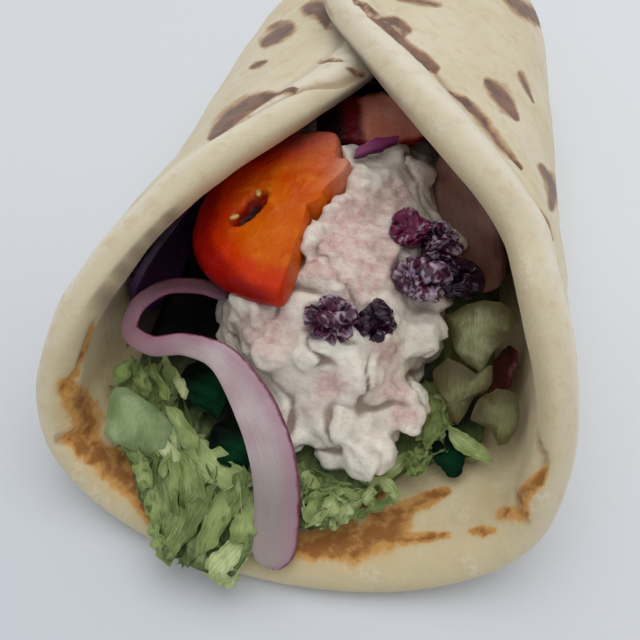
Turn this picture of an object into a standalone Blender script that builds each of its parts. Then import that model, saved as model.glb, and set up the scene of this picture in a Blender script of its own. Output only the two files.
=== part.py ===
"""Chicken salad pita: one round flatbread folded into an open-mouthed wrap.

The bread is a turned disc with a rounded rim. It is folded by a function: its middle is the
floor, its left side rises and leans in, and its right side laps over the left one. Inside lie
a bed of shredded lettuce, a heap of chicken salad, and loose slices, strips, leaves and berries.

Metres, +Z up. +Y runs from the open mouth to the narrow back end, +X is to the right when
looking into the mouth. The origin is on the flat underside, under the middle of the wrap.
"""
import math

import bmesh
import bpy
import numpy as np
from mathutils import Matrix, Vector, noise

MM = 0.001

# Bread, measured flat
BREAD_RADIUS = 121.5 * MM
BREAD_THICKNESS = 7.5 * MM
BREAD_SPOKES = 70
BREAD_RINGS = 11
RIM_STEPS = 5
FLAP_REACH = 30.0 * MM            # how far the right flap reaches beyond the round
FLAP_ANGLE = math.radians(126.0)  # where it reaches furthest, counted from the front lip
FLAP_SPREAD = math.radians(50.0)

# Fold, by stations counted back from the front lip
LIP_Y = -120.0 * MM
STATION = np.array([0.0, 30.0, 60.0, 95.0, 140.0, 185.0, 215.0, 246.0]) * MM
HALF_WIDTH = np.array([55.0, 55.0, 53.0, 49.5, 46.0, 42.0, 35.0, 25.0]) * MM
HEIGHT = np.array([70.0, 67.0, 65.0, 57.0, 52.0, 44.0, 33.0, 22.0]) * MM
SIDE_SHIFT = np.array([0.5, 0.2, 0.0, 0.5, 0.0, -0.5, -1.0, -1.0]) * MM
FLOOR_POWER = 3.0                 # how square the floor's corners are, 2 is an ellipse
ROOF_POWER_MOUTH = 1.75
ROOF_POWER_BACK = 2.1
WIDEST_AT = 0.33                  # height of the widest line, as a share of the whole
FLAP_GAP = 0.8 * MM               # between the left flap and the right flap over it
UNDERSIDE_CUT = 0.3 * MM          # how much of the round underside is flat on the table

# Filling
WALL_CLEAR = 1.3 * MM             # filling to bread
PIECE_GAP = 0.4 * MM              # piece to piece
BED_SIDE_GAP = 2.0 * MM           # bed of lettuce to the foot of each wall
BED_GAP = 1.0 * MM                # bed of lettuce to the salad on it
FILLING_END = 227.0 * MM
BED_STATION = np.array([8.0, 40.0, 100.0, 150.0, 200.0, 227.0]) * MM
BED_TOP = np.array([11.5, 16.0, 19.0, 17.0, 14.5, 12.0]) * MM
SALAD_STATION = np.array([24.5, 29.5, 36.0, 47.0, 60.0, 83.0, 104.0, 140.0, 185.0, 227.0]) * MM
SALAD_TOP = np.array([16.0, 24.0, 31.0, 38.5, 43.5, 46.8, 45.2, 43.0, 35.0, 20.0]) * MM
SALAD_LEFT = np.array([8.5, 2.0, -11.0, -22.5, -28.0, -33.0, -36.0, -35.0, -29.0, -17.0]) * MM
SALAD_RIGHT = np.array([16.0, 21.5, 24.5, 26.0, 29.5, 31.5, 30.5, 32.0, 28.0, 16.0]) * MM
CHUNK_COUNT = 31
CHUNK_RADII = (5.0 * MM, 8.4 * MM)
SHRED_COUNT = 26
SHRED_STATION = np.array([-3.0, 3.0, 6.0, 10.0, 15.0, 20.0, 30.0])
SHRED_LEFT = np.array([-19.5, -21.5, -24.0, -27.5, -31.0, -37.0, -40.0])
SHRED_MARGIN = 7.0                # millimetres from the footprint of the salad

MERGE_ANGLE = math.radians(6.0)   # faces flatter than this to each other become one after a cut

COLOURS = {
    "flatbread": ((0.72, 0.63, 0.46), 0.75),
    "lettuce": ((0.36, 0.48, 0.16), 0.45),
    "spinach": ((0.02, 0.16, 0.06), 0.45),
    "chicken salad": ((0.68, 0.58, 0.52), 0.5),
    "tomato": ((0.72, 0.13, 0.02), 0.3),
    "red onion": ((0.50, 0.33, 0.38), 0.35),
    "cranberry": ((0.13, 0.02, 0.05), 0.4),
}


# ---------------------------------------------------------------- numbers

def smooth(x, low, high):
    """Ease from 0 at low to 1 at high."""
    t = np.clip((x - low) / (high - low), 0.0, 1.0)
    return t * t * (3.0 - 2.0 * t)


def curve(xs, ys, x):
    """Smooth curve through the points (xs, ys), read at x."""
    slopes = np.gradient(ys, xs)
    i = np.clip(np.searchsorted(xs, x) - 1, 0, len(xs) - 2)
    h = xs[i + 1] - xs[i]
    t = np.clip((x - xs[i]) / h, 0.0, 1.0)
    start = (2 * t**3 - 3 * t**2 + 1) * ys[i] + (t**3 - 2 * t**2 + t) * h * slopes[i]
    end = (3 * t**2 - 2 * t**3) * ys[i + 1] + (t**3 - t**2) * h * slopes[i + 1]
    return start + end


def signed_power(value, power):
    return np.sign(value) * np.abs(value) ** power


def spot(x, s, z):
    """Point x across, s back from the lip and z up, all given in millimetres."""
    return Vector((x * MM, s * MM + LIP_Y, z * MM))


# ---------------------------------------------------------------- fold

def roof_power(s):
    return ROOF_POWER_MOUTH + (ROOF_POWER_BACK - ROOF_POWER_MOUTH) * smooth(s, 0.06, 0.17)


def fold_section(s):
    """Middle surface of the bread across station s: arc length, x and z along it."""
    turn = np.linspace(-1.75 * math.pi, 1.75 * math.pi, 1401)
    half = curve(STATION, HALF_WIDTH, s)
    height = curve(STATION, HEIGHT, s)
    sine, cosine = np.sin(turn), np.cos(turn)
    upper = cosine < 0.0
    power = np.where(upper, roof_power(s), FLOOR_POWER)
    reach = np.where(upper, (1.0 - WIDEST_AT) * height, WIDEST_AT * height)
    x = half * signed_power(sine, 2.0 / power)
    z = WIDEST_AT * height - reach * signed_power(cosine, 2.0 / power)
    dx, dz = np.gradient(x), np.gradient(z)
    size = np.hypot(dx, dz) + 1e-12
    lap = (BREAD_THICKNESS + FLAP_GAP) * smooth(turn, 0.45 * math.pi, 0.8 * math.pi)
    x = x + lap * dz / size + curve(STATION, SIDE_SHIFT, s)
    z = z - lap * dx / size + BREAD_THICKNESS / 2
    arc = np.concatenate([[0.0], np.cumsum(np.hypot(np.diff(x), np.diff(z)))])
    return arc - np.interp(0.0, turn, arc), x, z


class Fold:
    """Where each point of the flat bread goes, from a table of sections."""

    def __init__(self):
        self.s = np.linspace(-15 * MM, 2 * BREAD_RADIUS + 15 * MM, 137)
        self.u = np.linspace(-BREAD_RADIUS - 45 * MM, BREAD_RADIUS + 45 * MM, 334)
        rows = [fold_section(s) for s in self.s]
        self.x = np.array([np.interp(self.u, arc, x) for arc, x, z in rows])
        self.z = np.array([np.interp(self.u, arc, z) for arc, x, z in rows])

    def middle(self, u, s):
        i = np.clip((s - self.s[0]) / (self.s[1] - self.s[0]), 0, len(self.s) - 1.001)
        j = np.clip((u - self.u[0]) / (self.u[1] - self.u[0]), 0, len(self.u) - 1.001)
        i0, j0 = i.astype(int), j.astype(int)
        fi, fj = i - i0, j - j0

        def read(table):
            near = table[i0, j0] * (1 - fj) + table[i0, j0 + 1] * fj
            far = table[i0 + 1, j0] * (1 - fj) + table[i0 + 1, j0 + 1] * fj
            return near * (1 - fi) + far * fi

        return np.stack([read(self.x), s + LIP_Y, read(self.z)], axis=-1)

    def place(self, flat):
        """Flat points, centre of the bread at the origin and +Z its inner face, folded."""
        u, s, depth = flat[:, 0], flat[:, 1] + BREAD_RADIUS, flat[:, 2]
        step = 1.5 * MM
        across = self.middle(u + step, s) - self.middle(u - step, s)
        back = self.middle(u, s + step) - self.middle(u, s - step)
        inward = np.cross(across, back)
        inward /= np.linalg.norm(inward, axis=1, keepdims=True) + 1e-12
        folded = self.middle(u, s) + inward * depth[:, None]
        folded[:, 2] = np.maximum(folded[:, 2] - UNDERSIDE_CUT, 0.0)
        return folded


def flat_outline(angle):
    """Radius of the flat bread at an angle from the front lip, right flap at +90 degrees."""
    away = (angle - FLAP_ANGLE + math.pi) % (2 * math.pi) - math.pi
    return BREAD_RADIUS + FLAP_REACH * np.exp(-((away / FLAP_SPREAD) ** 2))


# Room inside the fold, all a safe distance off the bread

def room(s):
    """Side shift, half width, height of the widest line, and reach below and above it."""
    wall = BREAD_THICKNESS / 2 + WALL_CLEAR
    height = curve(STATION, HEIGHT, s)
    half = curve(STATION, HALF_WIDTH, s) - wall
    widest = WIDEST_AT * height + BREAD_THICKNESS / 2 - UNDERSIDE_CUT
    below = WIDEST_AT * height - wall
    above = (1.0 - WIDEST_AT) * height - wall
    return curve(STATION, SIDE_SHIFT, s), half, widest, below, above


def floor_at(x, s):
    shift, half, widest, below, _ = room(s)
    share = min(abs(x - shift) / half, 1.0)
    return widest - below * (1.0 - share ** FLOOR_POWER) ** (1.0 / FLOOR_POWER)


def roof_at(x, s):
    shift, half, widest, _, above = room(s)
    share = min(abs(x - shift) / half, 1.0)
    return widest + above * (1.0 - share ** roof_power(s)) ** (1.0 / roof_power(s))


def half_room(z, s):
    """Half width of the room at height z."""
    _, half, widest, below, above = room(s)
    reach, power = (above, roof_power(s)) if z > widest else (below, FLOOR_POWER)
    share = min(abs(z - widest) / reach, 1.0)
    return half * (1.0 - share ** power) ** (1.0 / power)


# ---------------------------------------------------------------- Blender helpers

def material(name):
    found = bpy.data.materials.get(name)
    if found:
        return found
    made = bpy.data.materials.new(name)
    made.use_nodes = True
    shader = made.node_tree.nodes["Principled BSDF"]
    colour, roughness = COLOURS[name]
    shader.inputs["Base Color"].default_value = (*colour, 1.0)
    shader.inputs["Roughness"].default_value = roughness
    shader.inputs["Metallic"].default_value = 0.0
    made.diffuse_color = (*colour, 1.0)
    return made


def add_object(name, mesh, stuff, collection):
    mesh.materials.clear()
    mesh.materials.append(material(stuff))
    made = bpy.data.objects.new(name, mesh)
    collection.objects.link(made)
    return made


def from_bmesh(name, bm, stuff, collection):
    mesh = bpy.data.meshes.new(name)
    bm.to_mesh(mesh)
    bm.free()
    return add_object(name, mesh, stuff, collection)


def settle(obj):
    """Replace an object's mesh by its evaluated one, so that its modifiers are applied."""
    bpy.context.view_layer.update()
    graph = bpy.context.evaluated_depsgraph_get()
    mesh = bpy.data.meshes.new_from_object(obj.evaluated_get(graph))
    obj.modifiers.clear()
    obj.data = mesh
    return obj


def largest_shell(obj):
    """Keep the biggest closed shell, without loose scraps or sealed bubbles."""
    bm = bmesh.new()
    bm.from_mesh(obj.data)
    left = set(bm.faces)
    shells = []
    while left:
        stack = [left.pop()]
        shell = []
        while stack:
            face = stack.pop()
            shell.append(face)
            for edge in face.edges:
                for other in edge.link_faces:
                    if other in left:
                        left.remove(other)
                        stack.append(other)
        shells.append(shell)
    shells.sort(key=len)
    scraps = [face for shell in shells[:-1] for face in shell]
    bmesh.ops.delete(bm, geom=scraps, context="FACES")
    bmesh.ops.dissolve_limit(bm, angle_limit=MERGE_ANGLE, verts=bm.verts[:], edges=bm.edges[:])
    bmesh.ops.triangulate(bm, faces=bm.faces[:])
    bm.to_mesh(obj.data)
    bm.free()
    return obj


def combine(target, others, operation, solver):
    """One Boolean of the target with a whole collection, applied, and the collection emptied."""
    group = bpy.data.collections.new(target.name + " " + operation.lower())
    bpy.context.scene.collection.children.link(group)
    for other in others:
        for owner in list(other.users_collection):
            owner.objects.unlink(other)
        group.objects.link(other)
    boolean = target.modifiers.new(operation.title(), "BOOLEAN")
    boolean.operand_type = "COLLECTION"
    boolean.collection = group
    boolean.operation = operation
    boolean.solver = solver
    settle(target)
    for other in others:
        bpy.data.objects.remove(other)
    bpy.data.collections.remove(group)
    return largest_shell(target)


def swollen(obj, amount):
    """A cutter: a copy of an object, grown along its normals by the amount."""
    bm = bmesh.new()
    bm.from_mesh(obj.data)
    bm.normal_update()
    for vert in bm.verts:
        vert.co += vert.normal * amount
    cutter = from_bmesh(obj.name + "_cutter", bm, obj.data.materials[0].name, obj.users_collection[0])
    cutter.hide_render = True
    cutter.display_type = "WIRE"
    return cutter


def sheet(name, columns, rows, place, thickness, stuff, collection):
    """A thin piece: a grid laid by place(u, v), u and v from -1 to 1, then given a thickness.

    It is split into triangles before Solidify, so both faces are split alike.
    """
    bm = bmesh.new()
    bmesh.ops.create_grid(bm, x_segments=columns, y_segments=rows, size=1.0)
    for vert in bm.verts:
        vert.co = place(vert.co.x, vert.co.y)
    bmesh.ops.triangulate(bm, faces=bm.faces[:])
    made = from_bmesh(name, bm, stuff, collection)
    solid = made.modifiers.new("Thickness", "SOLIDIFY")
    solid.thickness = thickness
    solid.offset = 0.0
    return settle(made)


def slab(name, columns, rows, lower, upper, stuff, collection):
    """A closed body between two surfaces, lower(u, v) and upper(u, v), on the same grid."""
    bm = bmesh.new()
    bmesh.ops.create_grid(bm, x_segments=columns, y_segments=rows, size=1.0)
    bottom = list(bm.verts)
    raised = bmesh.ops.extrude_face_region(bm, geom=bm.faces[:])
    top = [item for item in raised["geom"] if isinstance(item, bmesh.types.BMVert)]
    for vert in bottom:
        vert.co = lower(vert.co.x, vert.co.y)
    for vert in top:
        vert.co = upper(vert.co.x, vert.co.y)
    bmesh.ops.recalc_face_normals(bm, faces=bm.faces[:])
    bmesh.ops.triangulate(bm, faces=bm.faces[:])
    return from_bmesh(name, bm, stuff, collection)


def frame_of(direction, facing):
    """Unit vectors along a direction, across it, and out of the face nearest to facing."""
    forward = direction.normalized()
    across = forward.cross(facing).normalized()
    return forward, across, across.cross(forward)


def path_point(points, t):
    """Point at t from 0 to 1 on a smooth curve through the points."""
    steps = np.concatenate([[0.0], np.cumsum([(b - a).length for a, b in zip(points, points[1:])])])
    steps /= steps[-1]
    return Vector([float(curve(steps, np.array([p[k] for p in points]), t)) for k in range(3)])


def strip(name, points, widths, thickness, facing, cells, stuff, collection):
    """A flat strip along a route, its wide face turned towards facing."""
    spread = np.linspace(0.0, 1.0, len(widths))

    def place(u, v):
        t = (v + 1.0) / 2.0
        here = path_point(points, t)
        ahead = path_point(points, min(t + 0.01, 1.0)) - path_point(points, max(t - 0.01, 0.0))
        _, across, _ = frame_of(ahead, facing)
        rounding = math.sqrt(max(1.0 - (0.55 * abs(v) ** 12), 0.0))
        return here + across * (u * 0.5 * float(np.interp(t, spread, widths)) * rounding)

    return sheet(name, cells[0], cells[1], place, thickness, stuff, collection)


def leaf(name, centre, along, facing, length, width, shape, seed, cells, stuff, collection):
    """A leaf or petal: an oval sheet with cupped sides and a wavy edge.

    shape is (thickness, cup, wave, bend): the sides rise by cup, the edge waves by wave,
    and the two ends drop by bend.
    """
    thickness, cup, wave, bend = shape
    forward, across, outward = frame_of(along, facing)

    def place(u, v):
        disc_u = u * math.sqrt(1.0 - 0.42 * v * v)
        disc_v = v * math.sqrt(1.0 - 0.42 * u * u)
        edge = 1.0 + 0.10 * math.sin(5.0 * math.atan2(disc_v, disc_u) + seed)
        side = disc_u * edge
        end = disc_v * edge
        far = max(abs(u), abs(v))
        lift = cup * side * side - bend * end * end
        lift += wave * far * far * math.sin(4.0 * math.atan2(v, u) + 1.7 * seed)
        return centre + across * side * width / 2 + forward * end * length / 2 + outward * lift

    return sheet(name, cells[0], cells[1], place, thickness, stuff, collection)


def lump(name, centre, radii, turn, rough, seed, detail, stuff, collection):
    """A rounded, knobbly body such as a chunk of chicken or a berry."""
    bm = bmesh.new()
    bmesh.ops.create_icosphere(bm, subdivisions=detail, radius=1.0)
    offset = Vector((seed * 3.1, seed * 1.7, seed * 0.9))
    for vert in bm.verts:
        swell = 1.0 + rough * noise.noise(vert.co * 1.6 + offset)
        vert.co = Vector([vert.co[k] * radii[k] * swell for k in range(3)])
    bmesh.ops.transform(bm, matrix=Matrix.Translation(centre) @ turn, verts=bm.verts[:])
    return from_bmesh(name, bm, stuff, collection)


# ---------------------------------------------------------------- bread

def make_bread(collection, fold):
    """A turned disc with a rounded rim, its right side pulled out into a flap, then folded."""
    half = BREAD_THICKNESS / 2
    core = BREAD_RADIUS - 2 * half
    radii = core * (np.arange(1, BREAD_RINGS + 1) / BREAD_RINGS) ** 0.85
    profile = [(0.0, half)] + [(r, half) for r in radii]
    for step in range(1, RIM_STEPS):
        angle = math.pi / 2 - math.pi * step / RIM_STEPS
        profile.append((core + 1.8 * half * math.cos(angle), half * math.sin(angle)))
    profile += [(r, -half) for r in radii[::-1]] + [(0.0, -half)]
    bm = bmesh.new()
    verts = [bm.verts.new((r, 0.0, z)) for r, z in profile]
    for a, b in zip(verts, verts[1:]):
        bm.edges.new((a, b))
    bread = from_bmesh("pita", bm, "flatbread", collection)
    screw = bread.modifiers.new("Turn", "SCREW")
    screw.steps = BREAD_SPOKES
    screw.render_steps = BREAD_SPOKES
    screw.use_merge_vertices = True
    screw.merge_threshold = 0.00001
    settle(bread)

    mesh = bread.data
    flat = np.array([vert.co[:] for vert in mesh.vertices])
    radius = np.hypot(flat[:, 0], flat[:, 1])
    angle = np.arctan2(flat[:, 0], -flat[:, 1])
    pulled_core = flat_outline(angle) - 2 * half
    pulled = np.where(radius <= core, radius * pulled_core / core, radius - core + pulled_core)
    flat[:, 0] = pulled * np.sin(angle)
    flat[:, 1] = -pulled * np.cos(angle)
    mesh.vertices.foreach_set("co", fold.place(flat).astype(np.float32).ravel())
    mesh.update()
    mesh.shade_smooth()
    return bread


# ---------------------------------------------------------------- filling: lettuce

def bed_front(x):
    """Station where the bed of lettuce starts: near the lip on the left, further in on the right."""
    return 9 * MM + 8 * MM * smooth(x, -6 * MM, 4 * MM) + 17 * MM * smooth(x, 20 * MM, 32 * MM)


def bed_top(x, s):
    """Height of the bed of lettuce, with the hollow beside the left wall behind the onion."""
    hollow = 5.0 * MM * math.exp(-((x + 38 * MM) / (9 * MM)) ** 2 - ((s - 62 * MM) / (14 * MM)) ** 2)
    ripple = 0.8 * MM * noise.noise(Vector((x, s, 0.0)) * 130.0)
    return float(curve(BED_STATION, BED_TOP, s)) - hollow + ripple


def make_bed(collection):
    """The bed of lettuce: it lies on the bread's floor and runs through the wrap."""
    def surface(u, v, upper):
        x = u * 44 * MM
        front = float(bed_front(x))
        s = front + (FILLING_END - front) * ((v + 1) / 2) ** 1.5
        shift, half, widest, below, _ = room(s)
        top = float(curve(BED_STATION, BED_TOP, s))
        share = min(max((widest - top + 1.2 * MM) / below, 0.0), 1.0)
        edge = half * (1.0 - share ** FLOOR_POWER) ** (1.0 / FLOOR_POWER) - BED_SIDE_GAP - 2.0 * MM * smooth(s, 0.13, 0.18)
        x = shift + u * edge
        low = floor_at(x, s)
        if not upper:
            return Vector((x, s + LIP_Y, low))
        return Vector((x, s + LIP_Y, max(bed_top(x, s), low + 1.0 * MM)))

    return slab("lettuce", 11, 15, lambda u, v: surface(u, v, False), lambda u, v: surface(u, v, True),
                "lettuce", collection)


def under_salad(x, s, margin):
    """Whether a place, in millimetres, is under the heap of salad or nearer to it than margin."""
    if s < SALAD_STATION[0] / MM - margin:
        return False
    left = float(curve(SALAD_STATION, SALAD_LEFT, s * MM)) / MM
    right = float(curve(SALAD_STATION, SALAD_RIGHT, s * MM)) / MM
    return left - margin < x < right + margin


def add_shreds(bed, collection):
    """Shreds that lie on the bed's open front, fused to it; any that would meet the salad is skipped."""
    rng = np.random.default_rng(13)
    pieces = []
    tries = 0
    while len(pieces) < SHRED_COUNT and tries < 2000:
        tries += 1
        x = rng.uniform(-38, 8) if len(pieces) % 4 else rng.uniform(4, 30)
        s = rng.uniform(-1, 34) if x < 0 else rng.uniform(13, 24)
        route = shred_route(x, s, 40 if x < 0 else 70, rng)
        if any(under_salad(px, ps, SHRED_MARGIN) for px, ps, _ in route):
            continue
        pieces.append(shred(f"shred_{len(pieces)}", route, rng, collection))
    return combine(bed, pieces, "UNION", "MANIFOLD")


def lip_top(s):
    """Height of the bread's upper side near the front lip."""
    past = min(max((4.2 - s / MM) / 4.2, 0.0), 1.6)
    return BREAD_THICKNESS - UNDERSIDE_CUT - 3.4 * MM * past * past


def shred_route(x, s, swing, rng):
    """A loose wave on the bed, or over the lip: places across, back and up, in millimetres."""
    heading = math.radians(rng.uniform(-swing, swing) - 90)
    bend = rng.uniform(-0.9, 0.9)
    length = rng.uniform(18, 32)
    points = []
    for step in range(5):
        t = step / 4
        angle = heading + bend * (t - 0.5)
        px = x + length * (t - 0.5) * math.cos(angle)
        ps = max(s + length * (t - 0.5) * math.sin(angle), -2.4 if x < 0 else 12.5)
        px = min(max(px, float(curve(SHRED_STATION, SHRED_LEFT, ps))), -4.0 if ps < 12 else 30.0)
        if ps > 12:
            base = bed_top(px * MM, ps * MM) / MM
        else:
            base = max(lip_top(ps * MM), floor_at(px * MM, max(ps, 2) * MM)) / MM + 1.2
            base += 2.5 * min(max((ps - 4) / 8, 0), 1)
        wave = 1.6 * math.sin(2.0 * math.pi * t + bend * 3) * (0.4 if ps < 6 else 1.0)
        points.append((px, ps, base + max(wave, -0.6)))
    return points


def shred(name, route, rng, collection):
    """A strip of lettuce along its route."""
    points = [spot(*place) for place in route]
    widths = [rng.uniform(3.0, 4.2) * MM, rng.uniform(4.0, 6.5) * MM, rng.uniform(2.5, 4.0) * MM]
    facing = Vector((rng.uniform(-0.5, 0.5), rng.uniform(-0.5, 0.3), 1.0)).normalized()
    return strip(name, points, widths, 0.9 * MM, facing, (1, 6), "lettuce", collection)


# ---------------------------------------------------------------- filling: chicken salad

def salad_surface(u, v, upper):
    s = SALAD_STATION[0] + (FILLING_END - SALAD_STATION[0]) * ((v + 1) / 2) ** 1.25
    left = float(curve(SALAD_STATION, SALAD_LEFT, s))
    right = float(curve(SALAD_STATION, SALAD_RIGHT, s))
    x = (left + right) / 2 + u * (right - left) / 2
    low = bed_top(x, s)
    if not upper:
        return Vector((x, s + LIP_Y, low - 1.0 * MM))
    peak = float(curve(SALAD_STATION, SALAD_TOP, s))
    rise = max(peak - low, 1.0 * MM) * (1.0 - abs(u) ** 2.8) ** 0.5
    top = min(low + max(rise, 0.9 * MM), roof_at(x, s) - 2.0 * MM)
    return Vector((x, s + LIP_Y, max(top, low + 0.8 * MM)))


def make_salad(collection):
    """The heap runs through the wrap, with the chunks that show fused on its open front."""
    core = slab("chicken_salad", 10, 16, lambda u, v: salad_surface(u, v, False),
                lambda u, v: salad_surface(u, v, True), "chicken salad", collection)
    rng = np.random.default_rng(5)
    chunks = []
    places = []
    tries = 0
    while len(chunks) < CHUNK_COUNT and tries < 4000:
        tries += 1
        u, v = rng.uniform(-0.93, 0.93), rng.uniform(-0.93, 0.05)
        centre = salad_surface(u, v, True)
        radius = rng.uniform(*CHUNK_RADII)
        if any((centre - place).length < 0.62 * (radius + size) for place, size in places):
            continue
        places.append((centre, radius))
        x, s = centre.x, centre.y - LIP_Y
        ceiling = roof_at(x, s) - 0.9 * MM
        radii = [radius * rng.uniform(low, high) for low, high in ((0.85, 1.25), (0.8, 1.1), (0.6, 0.8))]
        centre = centre + Vector((0.0, 0.0, -0.40 * radii[2]))
        centre.z = min(centre.z, ceiling - radii[2] * 1.15)
        turn = Matrix.Rotation(rng.uniform(0, math.pi), 4, "Z") @ Matrix.Rotation(rng.uniform(-0.4, 0.4), 4, "X")
        chunks.append(lump(f"chunk_{len(chunks)}", centre, radii, turn, 0.35, len(chunks), 2,
                           "chicken salad", collection))
    return combine(core, chunks, "UNION", "MANIFOLD")


# ---------------------------------------------------------------- filling: single pieces

VIEWER = Vector((0.13, -0.62, 0.77))   # towards the open mouth and up
TOMATO_CUT = 5.4 * MM                  # how far past its centre the slice is cut, less at the front


def make_tomato_slice(collection):
    """Half of a thick round slice that leans on the heap: skin on its arc, a torn cut edge."""
    radius, thickness, bulge = 27.0 * MM, 7.0 * MM, 2.2 * MM
    half = thickness / 2
    profile = [(0.0, half), (radius * 0.45, half), (radius - bulge, half), (radius - 0.5 * bulge, 0.7 * half),
               (radius, 0.0), (radius - 0.5 * bulge, -0.7 * half), (radius - bulge, -half), (0.0, -half)]
    bm = bmesh.new()
    verts = [bm.verts.new((r, 0.0, z)) for r, z in profile]
    for a, b in zip(verts, verts[1:]):
        bm.edges.new((a, b))
    made = from_bmesh("tomato_slice", bm, "tomato", collection)
    screw = made.modifiers.new("Turn", "SCREW")
    screw.steps = 36
    screw.render_steps = 36
    screw.use_merge_vertices = True
    screw.merge_threshold = 0.00001
    settle(made)
    forward, across, outward = frame_of(Vector((0.0, 1.0, 0.14)), Vector((-0.20, -0.14, 1.0)))
    frame = Matrix((across, forward, outward)).transposed().to_4x4()
    for vert in made.data.vertices:
        x, y, z = vert.co
        angle = math.atan2(y, x)
        slant = 0.55 + 0.45 * float(smooth(math.sin(angle), -0.5, 0.4))
        cut = TOMATO_CUT * slant / (radius * max(math.cos(angle), 0.05))
        torn = 0.30 * math.exp(-((angle - math.radians(58)) / 0.22) ** 2)
        grow = 1.0 / (1.0 + cut ** -5) ** 0.2 + torn + 0.02 * math.sin(4 * angle)
        reach = math.hypot(x, y) / radius
        droop = -3.0 * MM * max(-x / radius, 0.0) ** 2 - 3.0 * MM * max(y / radius, 0.0) ** 2
        vert.co = Vector((x * grow, y * grow, z + droop + 0.4 * MM * math.sin(3 * angle) * reach))
    made.data.transform(Matrix.Translation(spot(-8.0, 73.0, 46.5)) @ frame)
    hollow = lump("seed_hollow", spot(-20.5, 72.0, 47.0), (3.2 * MM, 7.0 * MM, 3.4 * MM),
                  Matrix.Rotation(math.radians(-35), 4, "Z"), 0.2, 2, 2, "tomato", collection)
    return combine(made, [hollow], "DIFFERENCE", "EXACT")


def make_onion_strip(collection):
    """The long strip: out from under the tomato, round in a loop, and down over the lip."""
    route = [spot(-21.5, 54, 33.5), spot(-29.5, 55.6, 33.2), spot(-37.2, 54, 32.4), spot(-42.4, 48.5, 30.8),
             spot(-42, 42, 29.4), spot(-36, 38.8, 29.6), spot(-27.5, 39.4, 31.4), spot(-18, 36.8, 32.6),
             spot(-10, 30.6, 29.0), spot(-4, 23.8, 22.8), spot(-0.6, 17, 17.0), spot(1.2, 9, 12.2),
             spot(2.0, 1.2, 9.6)]
    widths = [w * MM for w in (3.0, 3.2, 3.2, 3.6, 4.2, 4.6, 5.4, 7.6, 9.4, 10.0, 10.2, 9.6, 6.6)]
    return strip("onion_strip", route, widths, 2.0 * MM, VIEWER, (3, 28), "red onion", collection)


def wall_petal(name, side, s_range, z_range, inset, thickness, cells, collection):
    """A curved piece of onion that leans on the inside of a wall."""
    def place(u, v):
        s = (s_range[0] + (s_range[1] - s_range[0]) * (u * math.sqrt(1 - 0.35 * v * v) + 1) / 2) * MM
        z = (z_range[0] + (z_range[1] - z_range[0]) * (v * math.sqrt(1 - 0.35 * u * u) + 1) / 2) * MM
        x = curve(STATION, SIDE_SHIFT, s) + side * (half_room(z, s) - inset)
        return Vector((x, s + LIP_Y, z))

    return sheet(name, cells[0], cells[1], place, thickness, "red onion", collection)


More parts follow.
